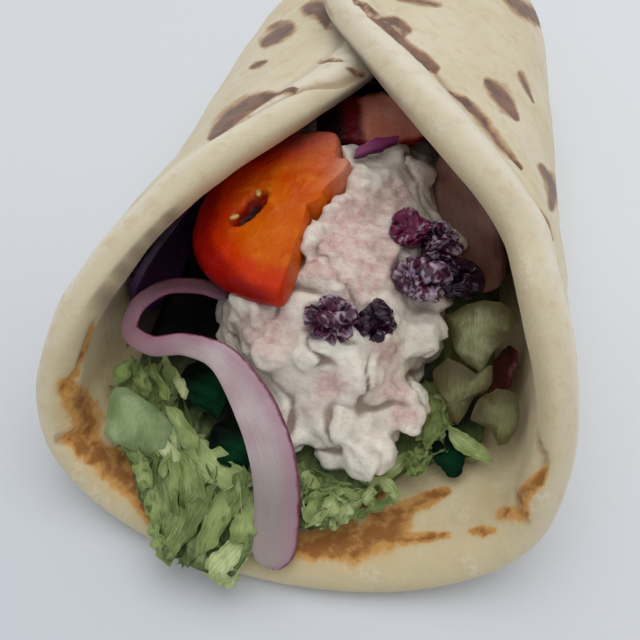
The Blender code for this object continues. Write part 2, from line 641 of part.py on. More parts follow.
def make_toppings(collection):
    """Every loose piece that lies in or on the filling."""
    made = [make_tomato_slice(collection), make_onion_strip(collection)]
    made.append(leaf("tomato_back", spot(4.0, 109.5, 47.5), Vector((1.0, 0.25, 0.0)), Vector((0, -0.4, 1.0)),
                     31 * MM, 15 * MM, (4.0 * MM, 0.0, 0.4 * MM, 1.5 * MM), 1.0, (5, 6), "tomato", collection))
    made.append(strip("onion_back", [spot(2.0, 94.0, 48.6), spot(7.0, 97.6, 49.2), spot(12.4, 101.6, 48.8)],
                      [4 * MM, 5.0 * MM, 4 * MM], 1.8 * MM, VIEWER, (3, 8), "red onion", collection))
    made.append(wall_petal("onion_left", -1, (53, 94), (16, 41), 2.2 * MM, 2.0 * MM, (6, 6), collection))
    made.append(leaf("onion_right", spot(31.5, 89, 38.5), Vector((-0.36, 0.80, 0.46)), Vector((-0.35, -0.52, 0.78)),
                     40 * MM, 15 * MM, (2.6 * MM, 1.2 * MM, 0.5 * MM, 2.0 * MM), 1.3, (6, 9), "red onion",
                     collection))
    made.append(wall_petal("onion_right_low", 1, (48, 60), (17, 30), 2.4 * MM, 1.8 * MM, (4, 4), collection))
    made.append(leaf("lettuce_leaf_left", spot(-33.1, 23.4, 20.8), Vector((0.35, -0.75, -0.35)), Vector((0.25, -0.45, 0.9)),
                     18 * MM, 15.5 * MM, (0.9 * MM, 1.4 * MM, 0.6 * MM, 1.0 * MM), 2.0, (7, 8), "lettuce", collection))
    made.append(leaf("lettuce_leaf_right_upper", spot(37.0, 53.9, 34.2), Vector((0.15, 0.8, 0.5)),
                     Vector((-0.3, -0.55, 0.8)), 18 * MM, 13.5 * MM, (0.9 * MM, 1.5 * MM, 0.8 * MM, 1.2 * MM), 3.0,
                     (6, 7), "lettuce", collection))
    made.append(leaf("lettuce_leaf_right_lower", spot(34.4, 41.5, 23.8), Vector((-0.10, 0.80, 0.45)),
                     Vector((-0.1, -0.6, 0.8)), 14 * MM, 10.5 * MM, (0.9 * MM, 1.0 * MM, 0.6 * MM, 1.0 * MM), 4.0,
                     (6, 7), "lettuce", collection))
    made.append(leaf("lettuce_leaf_curled", spot(45.4, 39.5, 24.5), Vector((-0.05, 0.7, 0.6)),
                     Vector((-0.35, -0.5, 0.8)), 15 * MM, 8 * MM, (0.9 * MM, 1.2 * MM, 0.7 * MM, 1.0 * MM), 5.5,
                     (6, 7), "lettuce", collection))
    made.append(strip("lettuce_strand", [spot(34.0, 38.6, 18.2), spot(37.8, 36.2, 17.8), spot(42.0, 34.8, 17.0),
                      spot(46.0, 33.8, 16.6)], [3 * MM, 3.6 * MM, 2.4 * MM], 0.9 * MM, VIEWER, (2, 8), "lettuce",
                      collection))
    made.append(leaf("spinach_left_upper", spot(-22.6, 36.6, 20.2), Vector((0.5, -0.8, 0.05)),
                     Vector((0.1, -0.3, 0.95)), 18 * MM, 10.5 * MM, (0.8 * MM, 1.2 * MM, 0.7 * MM, 1.2 * MM), 0.5,
                     (6, 8), "spinach", collection))
    made.append(leaf("spinach_left_lower", spot(-12.5, 24.0, 17.5), Vector((0.5, -0.7, -0.3)),
                     Vector((0.15, -0.5, 0.9)), 12 * MM, 9 * MM, (0.8 * MM, 1.2 * MM, 0.8 * MM, 1.2 * MM), 1.5,
                     (6, 6), "spinach", collection))
    made.append(leaf("spinach_right", spot(35.8, 34.2, 14.6), Vector((0.4, -0.8, -0.3)),
                     Vector((-0.1, -0.5, 0.9)), 11 * MM, 7 * MM, (0.8 * MM, 0.8 * MM, 0.6 * MM, 0.8 * MM), 2.5,
                     (5, 5), "spinach", collection))
    berries = [((18.4, 72.8, 46.3), (4.2, 4.2, 3.4)), ((22.8, 60.2, 42.6), (4.6, 6.2, 3.8)),
               ((31.4, 66.6, 37.2), (4.6, 5.2, 4.2)), ((3.4, 47.2, 40.2), (4.4, 5.2, 3.6)),
               ((14.4, 49.0, 40.7), (4.1, 4.6, 3.6)), ((26.8, 72.8, 43.2), (4.1, 4.3, 3.6))]
    for number, (place, radii) in enumerate(berries, 1):
        made.append(lump(f"cranberry_{number}", spot(*place), [r * MM for r in radii],
                         Matrix.Rotation(0.6 * number, 4, "Z"), 0.35, 20 + number, 2, "cranberry", collection))
    return made


# ---------------------------------------------------------------- build

def main():
    for old in list(bpy.data.objects):
        bpy.data.objects.remove(old)
    wrap = bpy.data.collections.new("chicken salad pita")
    bpy.context.scene.collection.children.link(wrap)

    make_bread(wrap, Fold())
    toppings = make_toppings(wrap)
    salad = make_salad(wrap)
    bed = make_bed(wrap)
    cutters = [swollen(piece, PIECE_GAP) for piece in toppings]
    cutters.append(swollen(bed, BED_GAP))
    combine(salad, cutters, "DIFFERENCE", "EXACT")
    lettuce = add_shreds(bed, wrap)
    cutters = [swollen(piece, PIECE_GAP) for piece in toppings]
    combine(lettuce, cutters, "DIFFERENCE", "EXACT")
    for obj in wrap.objects:
        print(obj.name, len(obj.data.polygons), "faces")


main()
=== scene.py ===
# %% [markdown]
# # Chicken salad pita
#
# A soft round flatbread is folded into an open-mouthed wrap round shredded lettuce, creamy
# chicken salad, tomato, red onion and dried cranberries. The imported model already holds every
# piece at its true size and place. This script leaves that model alone and makes the pieces
# that are looked at: each one stands where a solid of the model is, with the relief and the
# finish of the real food. The model comes first, because every later step reads sizes from it.

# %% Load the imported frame
import math

import bmesh
import bpy
import numpy as np
from mathutils import Matrix, Vector, kdtree, noise
from mathutils.bvhtree import BVHTree


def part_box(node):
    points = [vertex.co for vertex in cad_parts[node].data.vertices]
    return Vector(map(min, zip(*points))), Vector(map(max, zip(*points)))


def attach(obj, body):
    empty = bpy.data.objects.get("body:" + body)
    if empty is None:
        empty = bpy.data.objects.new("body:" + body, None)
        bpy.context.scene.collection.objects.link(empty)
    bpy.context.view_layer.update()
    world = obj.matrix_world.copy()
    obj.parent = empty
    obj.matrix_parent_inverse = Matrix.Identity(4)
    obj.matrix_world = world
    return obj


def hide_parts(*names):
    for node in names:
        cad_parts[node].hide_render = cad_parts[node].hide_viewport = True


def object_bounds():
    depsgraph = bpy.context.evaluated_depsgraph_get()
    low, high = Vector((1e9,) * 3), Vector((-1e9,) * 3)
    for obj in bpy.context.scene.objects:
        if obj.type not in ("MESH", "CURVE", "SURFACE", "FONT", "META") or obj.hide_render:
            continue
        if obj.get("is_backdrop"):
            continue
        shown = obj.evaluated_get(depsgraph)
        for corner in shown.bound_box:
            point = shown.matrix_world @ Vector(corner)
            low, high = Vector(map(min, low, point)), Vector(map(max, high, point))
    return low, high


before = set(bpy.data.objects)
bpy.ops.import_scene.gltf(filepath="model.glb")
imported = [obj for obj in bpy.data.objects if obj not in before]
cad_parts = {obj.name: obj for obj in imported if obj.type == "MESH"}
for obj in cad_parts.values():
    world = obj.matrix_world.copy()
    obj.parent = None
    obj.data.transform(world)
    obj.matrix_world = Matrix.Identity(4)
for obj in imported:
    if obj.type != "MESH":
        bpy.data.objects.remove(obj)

MM = 0.001
cad_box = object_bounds()
print("solids", len(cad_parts))
print("box", [tuple(round(v / MM, 1) for v in corner) for corner in cad_box])

# %% [markdown]
# ## Camera
#
# The photograph looks down into the mouth of the wrap from a little to the right. The camera is
# made first, because marks, shreds and leaves are given by the pixels where they show, and the
# camera says which place each pixel looks at. The focal length, the place and the two angles
# were found by laying the folded bread's outline over the photograph.

# %% Camera at the photograph's angle
PHOTO_SIZE = 640
LENS = 45.0
SENSOR = 36.0
CAMERA_PLACE = Vector((27.0, -183.2, 176.0)) * MM
CAMERA_TURN = math.radians(12.5)
CAMERA_DOWN = math.radians(50.5)

ahead = Vector((-math.sin(CAMERA_TURN) * math.cos(CAMERA_DOWN),
                math.cos(CAMERA_TURN) * math.cos(CAMERA_DOWN), -math.sin(CAMERA_DOWN)))
rightward = Vector((math.cos(CAMERA_TURN), math.sin(CAMERA_TURN), 0.0))
upward = rightward.cross(ahead)
camera = bpy.data.objects.new("camera", bpy.data.cameras.new("camera"))
camera.data.lens = LENS
camera.data.sensor_width = SENSOR
camera.matrix_world = (Matrix.Translation(CAMERA_PLACE)
                       @ Matrix((rightward, upward, -ahead)).transposed().to_4x4())
bpy.context.scene.collection.objects.link(camera)
bpy.context.scene.camera = camera


def sight(px, py):
    """Direction from the camera through a pixel of the photograph."""
    focal = LENS / SENSOR * PHOTO_SIZE
    across = px - PHOTO_SIZE / 2
    down = py - PHOTO_SIZE / 2
    return (ahead * focal + rightward * across - upward * down).normalized()


def seen(px, py, height):
    """The point that shows at a pixel, when its height above the table is known in millimetres."""
    ray = sight(px, py)
    return CAMERA_PLACE + ray * ((height * MM - CAMERA_PLACE.z) / ray.z)


def shows_at(place):
    """The pixel of the photograph at which a point shows."""
    offset = Vector(place) - CAMERA_PLACE
    scale = LENS / SENSOR * PHOTO_SIZE / offset.dot(ahead)
    return PHOTO_SIZE / 2 + scale * offset.dot(rightward), PHOTO_SIZE / 2 - scale * offset.dot(upward)


def within(px, py, outline):
    """Whether a pixel lies inside a closed outline of pixels."""
    inside = False
    for (ax, ay), (bx, by) in zip(outline, outline[1:] + outline[:1]):
        if (ay > py) != (by > py) and px < ax + (py - ay) * (bx - ax) / (by - ay):
            inside = not inside
    return inside


print("the middle of the picture looks at", [round(v / MM) for v in seen(320, 320, 35)])

# %% [markdown]
# ## Materials from short calls
#
# Food is never one flat colour, so every finish here mixes noise patterns at several sizes into
# colour, gloss and relief. Node trees written out in full are long and hard to read. The small
# class below adds one node for each call and returns the socket that carries its result, so a
# finish reads almost like a sum.

# %% Helper for node materials
def paint(red, green, blue):
    """A screen colour, 0 to 255 each, as the linear colour that Blender mixes."""
    screen = [channel / 255.0 for channel in (red, green, blue)]
    return (*[c / 12.92 if c <= 0.04045 else ((c + 0.055) / 1.055) ** 2.4 for c in screen], 1.0)


class Finish:
    """A material whose nodes are added one short call at a time."""

    def __init__(self, name):
        self.material = bpy.data.materials.new(name)
        self.material.use_nodes = True
        self.tree = self.material.node_tree
        self.shader = self.tree.nodes["Principled BSDF"]

    def feed(self, socket, value):
        if isinstance(value, bpy.types.NodeSocket):
            self.tree.links.new(value, socket)
        else:
            socket.default_value = value

    def node(self, kind, settings, sockets):
        made = self.tree.nodes.new(kind)
        for name, value in settings.items():
            setattr(made, name, value)
        for name, value in sockets.items():
            self.feed(made.inputs[name], value)
        return made

    def place(self):
        return self.node("ShaderNodeTexCoord", {}, {}).outputs["Object"]

    def kept(self, name, output="Fac"):
        """A value that the mesh carries under a name."""
        return self.node("ShaderNodeAttribute", {"attribute_name": name}, {}).outputs[output]

    def part(self, vector, axis):
        return self.node("ShaderNodeSeparateXYZ", {}, {"Vector": vector}).outputs[axis]

    def stretched(self, vector, scale):
        return self.node("ShaderNodeMapping", {}, {"Vector": vector, "Scale": scale}).outputs[0]

    def grain(self, scale, detail=3.0, rough=0.5, bent=0.0, at=None):
        at = at or self.place()
        return self.node("ShaderNodeTexNoise", {}, {
            "Vector": at, "Scale": scale, "Detail": detail, "Roughness": rough, "Distortion": bent,
        }).outputs["Fac"]

    def level(self, value, low, high, start=0.0, end=1.0):
        """Ease from start to end as the value goes from low to high."""
        return self.node("ShaderNodeMapRange", {"interpolation_type": "SMOOTHSTEP"}, {
            "Value": value, "From Min": low, "From Max": high, "To Min": start, "To Max": end,
        }).outputs["Result"]

    def combine(self, operation, first, second):
        made = self.node("ShaderNodeMath", {"operation": operation}, {})
        self.feed(made.inputs[0], first)
        self.feed(made.inputs[1], second)
        return made.outputs[0]

    def plus(self, first, second):
        return self.combine("ADD", first, second)

    def minus(self, first, second):
        return self.combine("SUBTRACT", first, second)

    def times(self, first, second):
        return self.combine("MULTIPLY", first, second)

    def largest(self, first, second):
        return self.combine("MAXIMUM", first, second)

    def size_of(self, value):
        """The value without its sign."""
        return self.combine("ABSOLUTE", value, 0.0)

    def swing(self, pattern, amount):
        """A pattern of 0 to 1 as up to half an amount less or more."""
        return self.times(self.minus(pattern, 0.5), amount)

    def mix(self, share, first, second):
        made = self.node("ShaderNodeMix", {"data_type": "RGBA"}, {})
        self.feed(made.inputs[0], share)
        self.feed(made.inputs[6], first)
        self.feed(made.inputs[7], second)
        return made.outputs[2]

    def layered(self, colour, *layers):
        """Lay screen colours over a colour, one after another, each by its own share."""
        for share, tone in layers:
            colour = self.mix(share, colour, paint(*tone))
        return colour

    def relief(self, height, depth):
        """A bump as deep as depth, in millimetres, where the height goes from 0 to 1."""
        sockets = {"Strength": 1.0, "Distance": depth * MM, "Height": height}
        made = self.node("ShaderNodeBump", {}, sockets)
        return made.outputs["Normal"]

    def wear(self, **sockets):
        """Feed the shader's own sockets, named with underscores for spaces."""
        for name, value in sockets.items():
            self.feed(self.shader.inputs[name.replace("_", " ")], value)
        return self.material


print("bread cream in linear colour", [round(c, 3) for c in paint(230, 215, 180)])

# %% [markdown]
# ## How the bread folds
#
# The real bread is baked flat and folded by hand, so it is modelled the same way: a flat disc
# with a rounded rim, sent through a folding function. The function knows a cross-section for
# each distance back from the lip: a flat floor, a left wall that leans in, and a right wall that
# laps over it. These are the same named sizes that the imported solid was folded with, read here
# on a finer table so that the denser mesh stays smooth. No hand folds quite evenly, so the edge
# is trimmed a little along the right flap's inner edge and let out where the flaps cross.

# %% The fold, from its stations
BREAD_RADIUS = 121.5 * MM
BREAD_THICKNESS = 7.5 * MM
FLAP_REACH = 30.0 * MM
FLAP_ANGLE = math.radians(126.0)
FLAP_SPREAD = math.radians(50.0)
LIP_Y = -120.0 * MM
STATION = np.array([0.0, 30.0, 60.0, 95.0, 140.0, 185.0, 215.0, 246.0]) * MM
HALF_WIDTH = np.array([55.0, 55.0, 53.0, 49.5, 46.0, 42.0, 35.0, 25.0]) * MM
HEIGHT = np.array([70.0, 67.0, 65.0, 57.0, 52.0, 44.0, 33.0, 22.0]) * MM
SIDE_SHIFT = np.array([0.5, 0.2, 0.0, 0.5, 0.0, -0.5, -1.0, -1.0]) * MM
FLOOR_POWER = 3.0
ROOF_POWERS = (1.75, 2.1)
WIDEST_AT = 0.33
FLAP_GAP = 0.8 * MM
UNDERSIDE_CUT = 0.3 * MM
# How far back from the lip the roof's curve changes, and the turns over which the right side laps.
ROOF_CHANGES = (0.06, 0.17)
LAP_TURNS = (0.45 * math.pi, 0.8 * math.pi)
SECTION_TURN = 1.75 * math.pi
SECTION_STEPS = 1401
# The folding table: how far it reaches past the bread, and how many places it has.
MARGIN_ALONG = 15 * MM
MARGIN_ACROSS = 45 * MM
TABLE_PLACES = (411, 1000)


def smooth(x, low, high):
    """Ease from 0 at low to 1 at high."""
    t = np.clip((x - low) / (high - low), 0.0, 1.0)
    return t * t * (3.0 - 2.0 * t)


def curve(xs, ys, x):
    """Smooth curve through the points (xs, ys), read at x."""
    slopes = np.gradient(ys, xs)
    i = np.clip(np.searchsorted(xs, x) - 1, 0, len(xs) - 2)
    h = xs[i + 1] - xs[i]
    t = np.clip((x - xs[i]) / h, 0.0, 1.0)
    start = (2 * t**3 - 3 * t**2 + 1) * ys[i] + (t**3 - 2 * t**2 + t) * h * slopes[i]
    end = (3 * t**2 - 2 * t**3) * ys[i + 1] + (t**3 - t**2) * h * slopes[i + 1]
    return start + end


def signed_power(value, power):
    return np.sign(value) * np.abs(value) ** power


def fold_section(s):
    """Middle surface of the bread across station s: arc length, x and z along it."""
    turn = np.linspace(-SECTION_TURN, SECTION_TURN, SECTION_STEPS)
    half = curve(STATION, HALF_WIDTH, s)
    height = curve(STATION, HEIGHT, s)
    sine, cosine = np.sin(turn), np.cos(turn)
    roof = ROOF_POWERS[0] + (ROOF_POWERS[1] - ROOF_POWERS[0]) * smooth(s, *ROOF_CHANGES)
    power = np.where(cosine < 0.0, roof, FLOOR_POWER)
    reach = np.where(cosine < 0.0, (1.0 - WIDEST_AT) * height, WIDEST_AT * height)
    x = half * signed_power(sine, 2.0 / power)
    z = WIDEST_AT * height - reach * signed_power(cosine, 2.0 / power)
    dx, dz = np.gradient(x), np.gradient(z)
    size = np.hypot(dx, dz) + 1e-12
    lap = (BREAD_THICKNESS + FLAP_GAP) * smooth(turn, *LAP_TURNS)
    x = x + lap * dz / size + curve(STATION, SIDE_SHIFT, s)
    z = z - lap * dx / size + BREAD_THICKNESS / 2
    arc = np.concatenate([[0.0], np.cumsum(np.hypot(np.diff(x), np.diff(z)))])
    return arc - np.interp(0.0, turn, arc), x, z


class Fold:
    """Where each point of the flat bread goes, from a table of sections."""

    def __init__(self):
        rows, columns = TABLE_PLACES
        self.s = np.linspace(-MARGIN_ALONG, 2 * BREAD_RADIUS + MARGIN_ALONG, rows)
        self.u = np.linspace(-BREAD_RADIUS - MARGIN_ACROSS, BREAD_RADIUS + MARGIN_ACROSS, columns)
        sections = [fold_section(s) for s in self.s]
        self.x = np.array([np.interp(self.u, arc, x) for arc, x, z in sections])
        self.z = np.array([np.interp(self.u, arc, z) for arc, x, z in sections])

    def middle(self, u, s):
        """The middle surface of the bread, u across and s back from the lip, read from the table."""
        i = np.clip((s - self.s[0]) / (self.s[1] - self.s[0]), 0, len(self.s) - 1.001)
        j = np.clip((u - self.u[0]) / (self.u[1] - self.u[0]), 0, len(self.u) - 1.001)
        i0, j0 = i.astype(int), j.astype(int)
        fi, fj = i - i0, j - j0

        def read(table):
            near = table[i0, j0] * (1 - fj) + table[i0, j0 + 1] * fj
            far = table[i0 + 1, j0] * (1 - fj) + table[i0 + 1, j0 + 1] * fj
            return near * (1 - fi) + far * fi

        return np.stack([read(self.x), s + LIP_Y, read(self.z)], axis=-1)

    def place(self, flat):
        """Flat points, centre of the bread at the origin and +Z its inner face, folded."""
        u, s, depth = flat[:, 0], flat[:, 1] + BREAD_RADIUS, flat[:, 2]
        step = 1.5 * MM
        across = self.middle(u + step, s) - self.middle(u - step, s)
        back = self.middle(u, s + step) - self.middle(u, s - step)
        inward = np.cross(across, back)
        inward /= np.linalg.norm(inward, axis=1, keepdims=True) + 1e-12
        folded = self.middle(u, s) + inward * depth[:, None]
        folded[:, 2] = np.maximum(folded[:, 2] - UNDERSIDE_CUT, 0.0)
        return folded


# Where a hand-shaped edge leaves the even curve: angle and half width in degrees, and how far
# it goes out or in, in millimetres.
EDGE_SHAPE = [(60.5, 5.0, -4.0), (66.0, 14.0, -1.8), (96.0, 9.0, 5.0), (270.0, 9.0, 5.0)]


def turned_from(angle, middle):
    """How far an angle is from a middle one, from -180 to 180 degrees."""
    return (angle - middle + math.pi) % (2 * math.pi) - math.pi


def flat_outline(angle):
    """Radius of the flat bread at an angle from the front lip, right flap at +90 degrees."""
    radius = BREAD_RADIUS + FLAP_REACH * np.exp(-((turned_from(angle, FLAP_ANGLE) / FLAP_SPREAD) ** 2))
    for middle, half_width, reach in EDGE_SHAPE:
        away = np.degrees(turned_from(angle, math.radians(middle)))
        radius = radius + reach * MM * np.exp(-((away / half_width) ** 2))
    return radius


fold = Fold()
print("the fold's table has", fold.x.size, "places")

# %% [markdown]
# ## The flat disc
#
# A flatbread is thin in the middle and puffs into a soft roll at its edge. Half of its outline
# is drawn as a chain of edges and spun once round, which gives even rings that follow the rim.
# A grid would be simpler, but its squares would cut across the rim in steps. The rings crowd
# towards the rim, because the middle of the disc ends up under the filling.

# %% Spin the disc
SPOKES = 560
RIM_STEPS = 14
# How far the rim's round reaches out past the even part, in half thicknesses of the bread.
RIM_REACH = 1.8


def turned(profile, steps):
    """A closed body from half an outline, given as radius and height from pole to pole."""
    bm = bmesh.new()
    verts = [bm.verts.new((radius, 0.0, height)) for radius, height in profile]
    edges = [bm.edges.new(pair) for pair in zip(verts, verts[1:])]
    bmesh.ops.spin(bm, geom=verts + edges, cent=(0, 0, 0), axis=(0, 0, 1), angle=2 * math.pi,
                   steps=steps, use_merge=True)
    bmesh.ops.remove_doubles(bm, verts=bm.verts[:], dist=0.001 * MM)
    bmesh.ops.recalc_face_normals(bm, faces=bm.faces[:])
    return bm


half_thick = BREAD_THICKNESS / 2
core_radius = BREAD_RADIUS - 2 * half_thick
# Few rings under the filling, then one about every 1.3 mm as far as the rim.
inner_rings = np.linspace(8, 48, 5)
outer_rings = np.linspace(50, core_radius / MM, 52)
ring_radii = np.concatenate([inner_rings, outer_rings]) * MM
disc_profile = [(0.0, half_thick)] + [(r, half_thick) for r in ring_radii]
for step in range(1, RIM_STEPS):
    angle = math.pi / 2 - math.pi * step / RIM_STEPS
    disc_profile.append((core_radius + RIM_REACH * half_thick * math.cos(angle),
                         half_thick * math.sin(angle)))
disc_profile += [(r, -half_thick) for r in ring_radii[::-1]] + [(0.0, -half_thick)]
disc = turned(disc_profile, SPOKES)
print("disc", len(disc.verts), "vertices")

# %% [markdown]
# ## Marks and creases, carried from the photograph
#
# The pan leaves brown marks where the dough touched it, and the fold leaves creases. A mark is
# written as a line of pixels with its half width in pixels, and each vertex that shows is
# measured against that line in the picture itself. So the mark lies just where it was seen, and
# it fades a few millimetres on where the bread turns out of sight. The outside has dark marks
# and the inside has golden ones. A crease is carried onto the flat bread instead, by a ray
# through each of its pixels, because it must run on evenly where the bread turns away.

# %% [markdown]
# First the lists: where the photograph shows a mark, a crease, the hollow in deep shadow or a shaded spot.
# Short lines like these are easier to read and to move than a painted picture.

# %% Where each mark shows in the photograph
# Each entry is a line of (pixel across, pixel down, half width in pixels) and a strength.
OUTSIDE_MARKS = [
    ([(265, 43, 6), (277, 35, 9), (289, 29, 7)], 1.0),
    ([(270, 29, 3), (282, 24, 4), (290, 21, 2)], 0.4),
    ([(250, 69, 2), (257, 65, 4), (267, 61, 2)], 0.8),
    ([(210, 137, 4), (220, 127, 8), (232, 116, 10), (246, 106, 9), (262, 99, 6), (278, 94, 3),
      (298, 90, 1.5)], 1.0),
    ([(309, 10, 8), (318, 9, 10), (324, 17, 8), (328, 28, 3)], 1.0),
    ([(317, 61, 1.5), (330, 61, 2.5), (346, 63, 1.5)], 0.6),
    ([(344, 70, 1.5), (354, 72, 2.5), (363, 75, 3)], 0.8),
    ([(354, 2, 2), (366, 7, 3.5), (377, 14, 3)], 0.75),
    ([(368, 17, 2.5), (386, 25, 4.5), (399, 36, 5), (410, 48, 5.5), (424, 58, 6), (438, 69, 3)], 1.0),
    ([(383, 17, 3), (397, 21, 5), (408, 30, 4.5)], 0.85),
    ([(400, -2, 4), (420, 1, 5), (440, 5, 3)], 0.5),
    ([(505, -4, 5), (519, 7, 8), (532, 15, 8), (539, 23, 5)], 0.85),
    ([(448, 86, 1.2), (463, 98, 3.2), (475, 110, 4.6), (487, 124, 4.6), (498, 139, 4), (509, 152, 3.4),
      (522, 168, 2.2)], 0.95),
    ([(488, 82, 5), (498, 92, 9), (507, 104, 8), (518, 121, 2)], 0.95),
    ([(521, 74, 4), (526, 87, 3.4), (533, 103, 1.5)], 0.6),
    ([(540, 165, 3), (549, 178, 6), (554, 192, 7), (552, 208, 4)], 0.75),
    ([(539, 209, 2), (547, 223, 3), (553, 242, 1.6)], 0.7),
]
INSIDE_MARKS = [
    ([(64, 384, 8), (74, 398, 15), (84, 416, 17), (88, 430, 12)], 0.85),
    ([(92, 322, 2), (76, 366, 3), (62, 392, 4)], 0.45),
    ([(72, 438, 8), (90, 450, 14), (108, 464, 16), (124, 480, 14), (138, 500, 9), (152, 522, 7),
      (160, 536, 4)], 1.0),
    ([(118, 456, 5), (134, 461, 6), (150, 466, 4)], 0.7),
    ([(145, 508, 3), (157, 530, 4)], 0.7),
    ([(293, 546, 13), (325, 545, 18), (355, 543, 21), (385, 534, 20), (402, 522, 12)], 1.0),
    ([(385, 528, 13), (373, 508, 13), (378, 492, 7)], 0.85),
    ([(398, 512, 9), (423, 502, 9), (446, 490, 5)], 0.85),
    ([(404, 542, 7), (427, 538, 6), (449, 537, 4)], 0.75),
    ([(472, 533, 4), (484, 533, 7), (496, 533, 4)], 0.55),
    ([(546, 466, 3), (538, 482, 6), (524, 498, 6), (528, 515, 3)], 0.7),
    ([(502, 516, 7), (518, 514, 8)], 0.3),
]
# Creases: lines of (pixel across, pixel down, half width in millimetres), and a depth in
# millimetres.
OUTSIDE_CREASES = [
    ([(357, 4, 0.9), (373, 16, 0.9), (389, 31, 0.9), (406, 45, 0.9), (422, 59, 1.0), (440, 74, 1.0),
      (463, 98, 1.0), (487, 122, 1.0), (512, 155, 0.9), (524, 172, 0.8)], 1.5),
    ([(538, 208, 0.8), (547, 227, 0.8), (553, 247, 0.8)], 0.9),
    ([(363, 74, 1.1), (340, 84, 1.1), (300, 91, 1.0), (273, 104, 1.0), (245, 121, 1.0), (216, 137, 0.9),
      (192, 153, 0.9), (180, 163, 0.8)], 2.0),
    ([(312, 61, 0.8), (350, 64, 0.8)], 0.8),
]
INSIDE_CREASES = [
    ([(92, 322, 1.0), (76, 366, 1.2), (61, 390, 1.2)], 1.2),
    ([(42, 444, 1.0), (56, 440, 1.3), (76, 435, 1.3), (98, 427, 1.0)], 2.4),
    ([(537, 418, 1.0), (546, 460, 1.2), (540, 480, 1.0)], 1.6),
    ([(516, 490, 0.9), (528, 522, 1.1), (540, 546, 1.0)], 1.6),
]
# The hollow inside the loop of onion, where painted shadow makes the bread's wall almost black.
SHADOWED_HOLLOW = [(150, 278), (240, 278), (240, 345), (128, 345), (134, 312), (142, 292)]
# Shaded places on the inner wall: pixel across, pixel down, radius in pixels and strength.
WALL_SHADES = [(104, 296, 18, 0.6), (120, 268, 16, 0.6), (134, 250, 15, 0.6), (150, 232, 14, 0.6),
               (168, 216, 14, 0.6)]
print("marks seen:", len(OUTSIDE_MARKS), "outside and", len(INSIDE_MARKS), "inside")

# %% [markdown]
# The disc has to be folded once before any mark can be placed. Its right side is pulled out into
# the long flap, and the fold carries it into space. A tree of its faces then tells where on the
# flat bread a pixel looks, and whether a vertex is in view.

# %% Fold the disc once, plain
# A vertex counts as in view when the ray to it meets the bread no more than this before it.
VIEW_SLACK = 5.5 * MM
# Vertices a little outside the picture still count, so that marks run on across its border.
PICTURE_MARGIN = 20

flat_at_start = np.array([vert.co[:] for vert in disc.verts])


def pulled_outline(flat):
    """The turned disc with its right side pulled out, and how far each vertex is from the edge."""
    radius = np.hypot(flat[:, 0], flat[:, 1])
    angle = np.arctan2(flat[:, 0], -flat[:, 1])
    pulled_core = flat_outline(angle) - 2 * half_thick
    pulled = np.where(radius <= core_radius, radius * pulled_core / core_radius,
                      radius - core_radius + pulled_core)
    moved = flat.copy()
    moved[:, 0] = pulled * np.sin(angle)
    moved[:, 1] = -pulled * np.cos(angle)
    return moved, flat_outline(angle) - pulled


flat_bread, from_edge = pulled_outline(flat_at_start)
folded_bread = fold.place(flat_bread)
disc.faces.ensure_lookup_table()
disc.verts.index_update()
bread_faces = [[vert.index for vert in face.verts] for face in disc.faces]
bread_tree = BVHTree.FromPolygons([Vector(co) for co in folded_bread], bread_faces)


def on_flat_bread(px, py):
    """The place on the flat bread that shows at a pixel, or None where the ray misses it."""
    hit, _, face, _ = bread_tree.ray_cast(CAMERA_PLACE, sight(px, py))
    if hit is None:
        return None
    corners = bread_faces[face]
    near = 1.0 / (np.linalg.norm(folded_bread[corners] - np.array(hit), axis=1) + 1e-6)
    return (flat_bread[corners] * near[:, None]).sum(axis=0) / near.sum()


def in_view(index):
    """Whether a vertex of the bread shows in the photograph."""
    place = Vector(folded_bread[index])
    hit = bread_tree.ray_cast(CAMERA_PLACE, (place - CAMERA_PLACE).normalized())[0]
    return hit is None or (hit - place).length < VIEW_SLACK


bread_pixels = np.array([shows_at(place) for place in folded_bread])
bread_shows = np.array([in_view(index) for index in range(len(folded_bread))])
bread_shows &= np.all((bread_pixels > -PICTURE_MARGIN)
                      & (bread_pixels < PHOTO_SIZE + PICTURE_MARGIN), axis=1)
print("vertices of the bread in view:", int(bread_shows.sum()), "of", len(bread_shows))

# %% [markdown]
# Each list becomes one number for each vertex: 1 on a mark's middle line, 0 at its border and
# less beyond it. The finish cuts it into bands of colour later. Marks that the photograph doesn't
# show are short wandering lines at seeded places, none of them reaching onto bread in view.

# %% Turn the lists into values on the bread
HIDDEN_OUTSIDE = 34
HIDDEN_INSIDE = 26
# The value far from any mark, the fading length past the edge of view, and the value it starts at.
UNMARKED = -3.0
FADE = 5.0 * MM
FADE_FROM = 0.6
# A hidden mark: bare middle of the disc, half widths and steps in millimetres, turn and strength.
BARE_MIDDLE = 25 * MM
HIDDEN_HALF_WIDTHS = (0.8, 3.6)
HIDDEN_STEPS = (3, 9)
HIDDEN_TURNS = (-0.7, 0.7)
HIDDEN_STRENGTHS = (0.55, 1.0)


def stroke(field, which, places, spots, strength):
    """Raise the field of some vertices along a line of spots, each a place and a half width."""
    for (a, wide_a), (b, wide_b) in zip(spots, spots[1:]):
        along = np.clip(((places - a) @ (b - a)) / ((b - a) @ (b - a) + 1e-12), 0, 1)
        away = np.linalg.norm(places - a - along[:, None] * (b - a), axis=1)
        width = wide_a + (wide_b - wide_a) * along
        value = (1.0 - away / width) * np.where(away < width, strength, 1.0)
        field = np.where(which, np.maximum(field, value), field)
    return field


